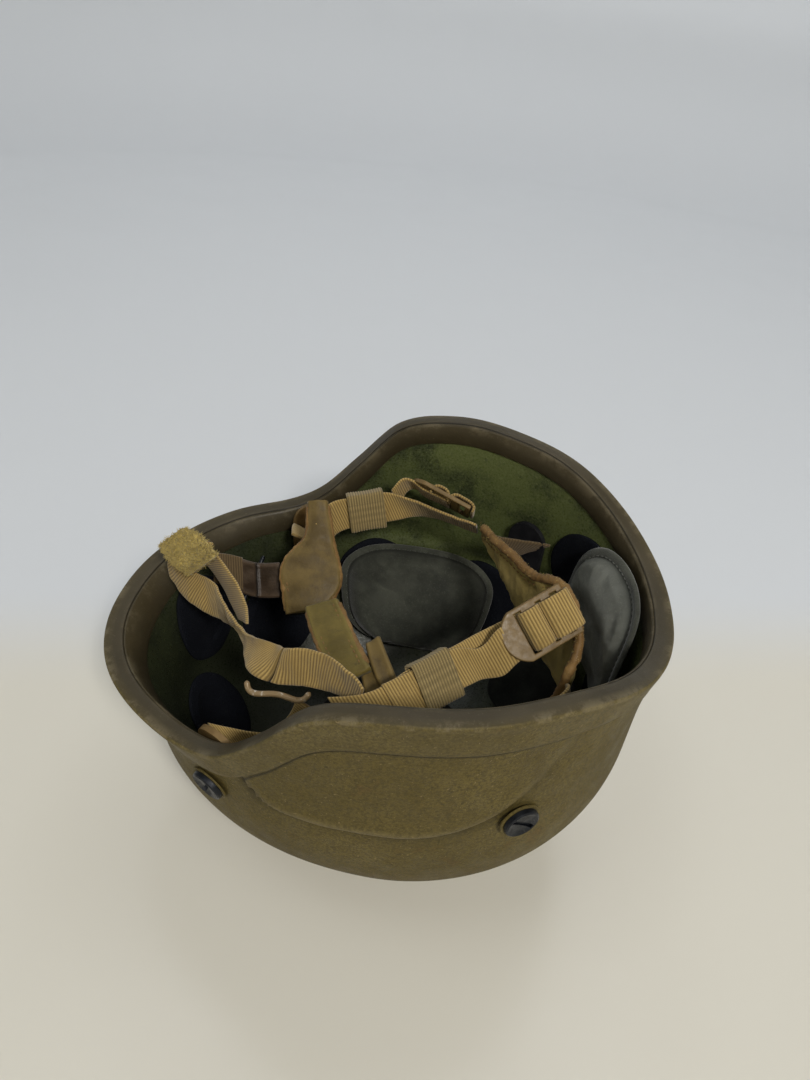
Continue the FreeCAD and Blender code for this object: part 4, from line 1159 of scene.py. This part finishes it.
# The nape band's top edge, and how far the band hangs from it.
NAPE_TOPS = [(46, 68, 151), (54, 51, 155), (65, 35, 158), (77, 20, 160), (84, 13, 165), (91, 3, 167),
             (97, -11, 161), (98, -24, 152), (95, -32, 147)]
NAPE_DROPS = [11, 15, 27, 42, 52, 54, 50, 44, 34]


def make_nape_band():
    """The padded nape band: an olive face, a rolled tan top edge, stitches under it and a frayed end."""
    stations = [((x + 1, y, z - drop / 2), (2, 0, -drop), math.hypot(2, drop))
                for (x, y, z), drop in zip(NAPE_TOPS, NAPE_DROPS)]
    # The face wears the brightened leather: painted light.
    _, run = swept("nape_band_leather", stations, LIT_NAPE_LEATHER, "leather_olive", ["nape_band"], wall=2.6,
                   rounding=1.5, rumple=0.9, seed=24)
    top = run.centre - run.side * run.half[:, None]
    low_end = [top[-1] + [-0.6, -1.6, -6], top[-1] + [-2.2, -2.6, -14], top[-1] + [-4.5, -1.4, -22]]
    path = np.concatenate([top[::9], [top[-1]], low_end])
    tube("nape_band_roll", path + [0, -0.6, 0.3], 2.5, SEAM_LEATHER, rough=0.35)
    count = 900
    picked = rng.integers(0, len(run.run), count)
    around = unit(rng.normal(size=(count, 3)))
    roots = top[picked] + [0, -0.6, 0.3] + around * 2.4
    fibres("nape_band_fuzz", roots, around, 1.0, 0.10, PILE, lean=1.2, seed=26)
    face = np.where(run.out[:, :1] > 0, -run.out, run.out)
    line = top + run.side * 4.5 + face * 1.6
    return [(line[2:-2], face[2:-2])]


stitch_lines = make_nape_band()
for side_name, run, lift in (("left", yoke_run, 2.0), ("right", right_yoke_run, 1.7)):
    for number, side in enumerate((-1, 1)):
        edge_line = run.line(side, 1.05, 0.0, 0.02)[0]
        tube("%s_yoke_roll_%d" % (side_name, number), edge_line[::6], 1.85, SEAM_LEATHER,
             rough=0.25)
        stitch_lines.append(run.line(side, 3.4, lift, 0.03))
        points, outs = run.line(side, 3.4, -lift, 0.03)
        stitch_lines.append((points, -outs))
stitch_mesh("harness_stitching", stitch_lines, SEAM_LEATHER, "root", 2.2, 1.2, 0.33)

# ---- buckles, keepers and rails

BUCKLES = {                                 # hinge end, direction to the lift tab, face normal
    "right": ((91, -12, 171), (-28, -21, -12), (0.06, -0.79, 0.61)),
    "left": ((37, 76, 152), (-33, 9, 8), (0.34, 0.69, 0.64)),
}
# Webbing on a ladder-lock, as distances from its hinge end and out of its face.
WRAP = [(14.2, 0.2), (14.9, 2.6), (17.0, 4.4), (20.0, 4.7), (23.0, 4.1), (24.6, 2.2), (24.8, -0.6)]
LAYER = [(-1.6, 0.6), (-1.2, 3.4), (1.5, 4.9), (7.0, 5.2), (11.0, 4.9), (12.9, 3.4), (13.4, 0.4)]


def square_frame(along, normal):
    """Three square directions: along, across, and out near normal."""
    along = unit(along)
    across = unit(np.cross(normal, along))
    return along, across, np.cross(along, across)


for side_name, (hinge, to_tab, normal) in BUCKLES.items():
    along, across, out = square_frame(to_tab, normal)
    for part, (label, route) in enumerate((("wrap", WRAP), ("layer", LAYER))):
        stations = [(np.array(hinge) + along * x + out * z, across, 19.5) for x, z in route]
        web("%s_buckle_%s" % (side_name, label), stations, body=side_name + "_buckle",
            stands_for=[side_name + "_buckle_webbing"], rumple=0.12, seed=27 + part, rib=0.2)


def make_keeper(name, centre, along, normal):
    """A knitted elastic loop round two layers of webbing, ribbed and a little waisted."""
    along, across, out = square_frame(along, normal)
    length, half_wide, half_high, wall, perimeter = 21.0, 12.0, 4.0, 1.2, 60.0
    run = np.linspace(-length / 2, length / 2, 78)[:, None]
    turns = full_turn(64)[None, :]
    wide_share, high_share = squircle(turns, 7.0)
    rings = []
    for inward in (0.0, wall):
        rib = 0.2 * np.cos(2 * np.pi * run / RIB_PITCH) * (inward == 0)
        hem = np.clip((length / 2 - np.abs(run)) / 0.7, 0, 1)
        fall = -0.45 * (1 - np.sqrt(1 - (1 - hem) ** 2)) * (1 if inward == 0 else -1)
        waist = -0.35 * np.cos(np.pi * run / length)
        grow = rib * hem + fall + waist - inward
        u, v = (half_wide + grow) * wide_share, (half_high + grow) * high_share
        rings.append(np.array(centre) + along * run[..., None] + across * u[..., None] + out * v[..., None])
    points = np.concatenate([rings[0], rings[1][::-1]])
    points += wobble(points, 14, 41)[..., None] * out * 0.15
    faces = [f[::-1] for f in grid_faces(len(points), 64, closed=True)]
    floats = {"along": np.repeat(np.concatenate([run, run[::-1]]).ravel(), 64),
              "across": np.tile(np.arange(1, 65) * perimeter / 64, len(points))}
    make(name + "_knit", points, faces, KNIT, name, [name], floats)


RIGHT_RUN, LEFT_RUN = (16, 17.3, 0), (17, 6.3, 2.7)
right_face = unit(np.cross(RIGHT_RUN, CHAIN))
left_face = unit(np.cross((-9, 1, 18), LEFT_RUN))
make_keeper("right_keeper", np.array([33, -57.15, 153]) + right_face * 1.1, RIGHT_RUN, right_face)
make_keeper("left_keeper", np.array([-22, 70.44, 146.9]), LEFT_RUN, left_face)
tube("chin_rail_right", [(-52, -64, 138.5), (-50.5, -66.5, 136.2), (-36, -68.7, 138.4),
                         (-23, -70.4, 140.8), (-21, -68.5, 143.5)], 1.4, WIRE, ["chin_rails"])
tube("chin_rail_left", [(-82, 22, 104), (-79, 33, 113), (-76, 44, 122)], 1.25, OXIDE,
     ["chin_rails"])

# ---- CAD nodes that stay


def finish_node(name, look, bevel_mm):
    """Gives a CAD node its finish, with its edges broken by modifiers."""
    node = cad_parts[name]
    node.data.materials.clear()
    node.data.materials.append(look)
    weld = node.modifiers.new("weld", "WELD")
    weld.merge_threshold = 0.01 * MM
    bevel = node.modifiers.new("broken_edges", "BEVEL")
    bevel.width = bevel_mm * MM
    bevel.segments = 3
    bevel.limit_method = "ANGLE"
    bevel.angle_limit = math.radians(38)
    bevel.harden_normals = False
    node.data.polygons.foreach_set("use_smooth", np.ones(len(node.data.polygons), bool))
    smooth = node.modifiers.new("even_shading", "WEIGHTED_NORMAL")
    smooth.keep_sharp = False


for node_name, look, bevel_mm in (("screws", OXIDE, 0.3), ("washers", PAINT, 0.15),
                                  ("screw_posts", OXIDE, 0.3), ("anchor_tabs", TAB, 0.8),
                                  ("right_buckle", ACETAL, 0.7), ("left_buckle", ACETAL, 0.7)):
    finish_node(node_name, look, bevel_mm)

# ---- stage


TABLE_EDGE = 0.1357                         # slope of the plane in which the table's far edge is seen


def make_floor():
    """A pale floor, cream near and bluish beyond, that sweeps up into a backdrop all round."""
    look = Look("pale_floor", 0.22)
    across = look.add("ShaderNodeVectorMath", operation="DOT_PRODUCT")
    look.feed(across.inputs[0], look.place)
    tilt = rolled_up + TABLE_EDGE * CAMERA_FORWARD
    across.inputs[1].default_value = tilt.tolist()
    seam = float(tilt @ CAMERA_AT) * MM
    beyond = look.between(across.outputs["Value"], seam - 0.03, seam + 0.05)
    look.colour(look.mix(beyond, (0.74, 0.715, 0.635), (0.72, 0.745, 0.775)))
    look.roughness(look.between(look.noise(160, 2), 0.3, 0.7, 0.20, 0.26))
    flat, radius, top = 1500.0, 900.0, 2600.0
    profile = [(0.001, 0.0), (150, 0), (400, 0), (900, 0), (flat, 0)]
    for turn in np.linspace(0.1, math.pi / 2, 14):
        profile.append((flat + radius * math.sin(turn), radius * (1 - math.cos(turn))))
    profile.append((flat + radius, top))
    points = np.array([[(r * math.cos(a), r * math.sin(a), z) for a in full_turn(96)] for r, z in profile])
    floor = make("floor", points, grid_faces(len(profile), 96), look.material, body=None)


make_floor()


def area_light(name, at, aim, size, watts, colour=(1, 1, 1)):
    """A soft square light at a point in metres, turned to another."""
    data = bpy.data.lights.new(name, "AREA")
    data.size, data.energy, data.color = size, watts, colour
    light = bpy.data.objects.new(name, data)
    bpy.context.scene.collection.objects.link(light)
    light.location = at
    light.rotation_mode = "QUATERNION"
    light.rotation_quaternion = (Vector(aim) - Vector(at)).to_track_quat("-Z", "Y")


area_light("key", (0.85, -1.6, 1.95), (0.0, -0.2, 0.0), 0.4, 40, (1.0, 0.97, 0.92))
area_light("fill", (-0.6, -0.5, 2.3), (0.0, 0.0, 0.1), 0.8, 6, (0.95, 0.98, 1.0))
area_light("backdrop", (0.0, 1.2, 2.2), (0.0, 1.6, 0.0), 1.6, 12, (0.96, 0.98, 1.0))
world = bpy.data.worlds.new("studio")
bpy.context.scene.world = world
world.use_nodes = True
world.node_tree.nodes["Background"].inputs["Color"].default_value = (0.97, 0.98, 1.0, 1)
world.node_tree.nodes["Background"].inputs["Strength"].default_value = 0.035
bpy.context.scene.view_settings.view_transform = "Standard"
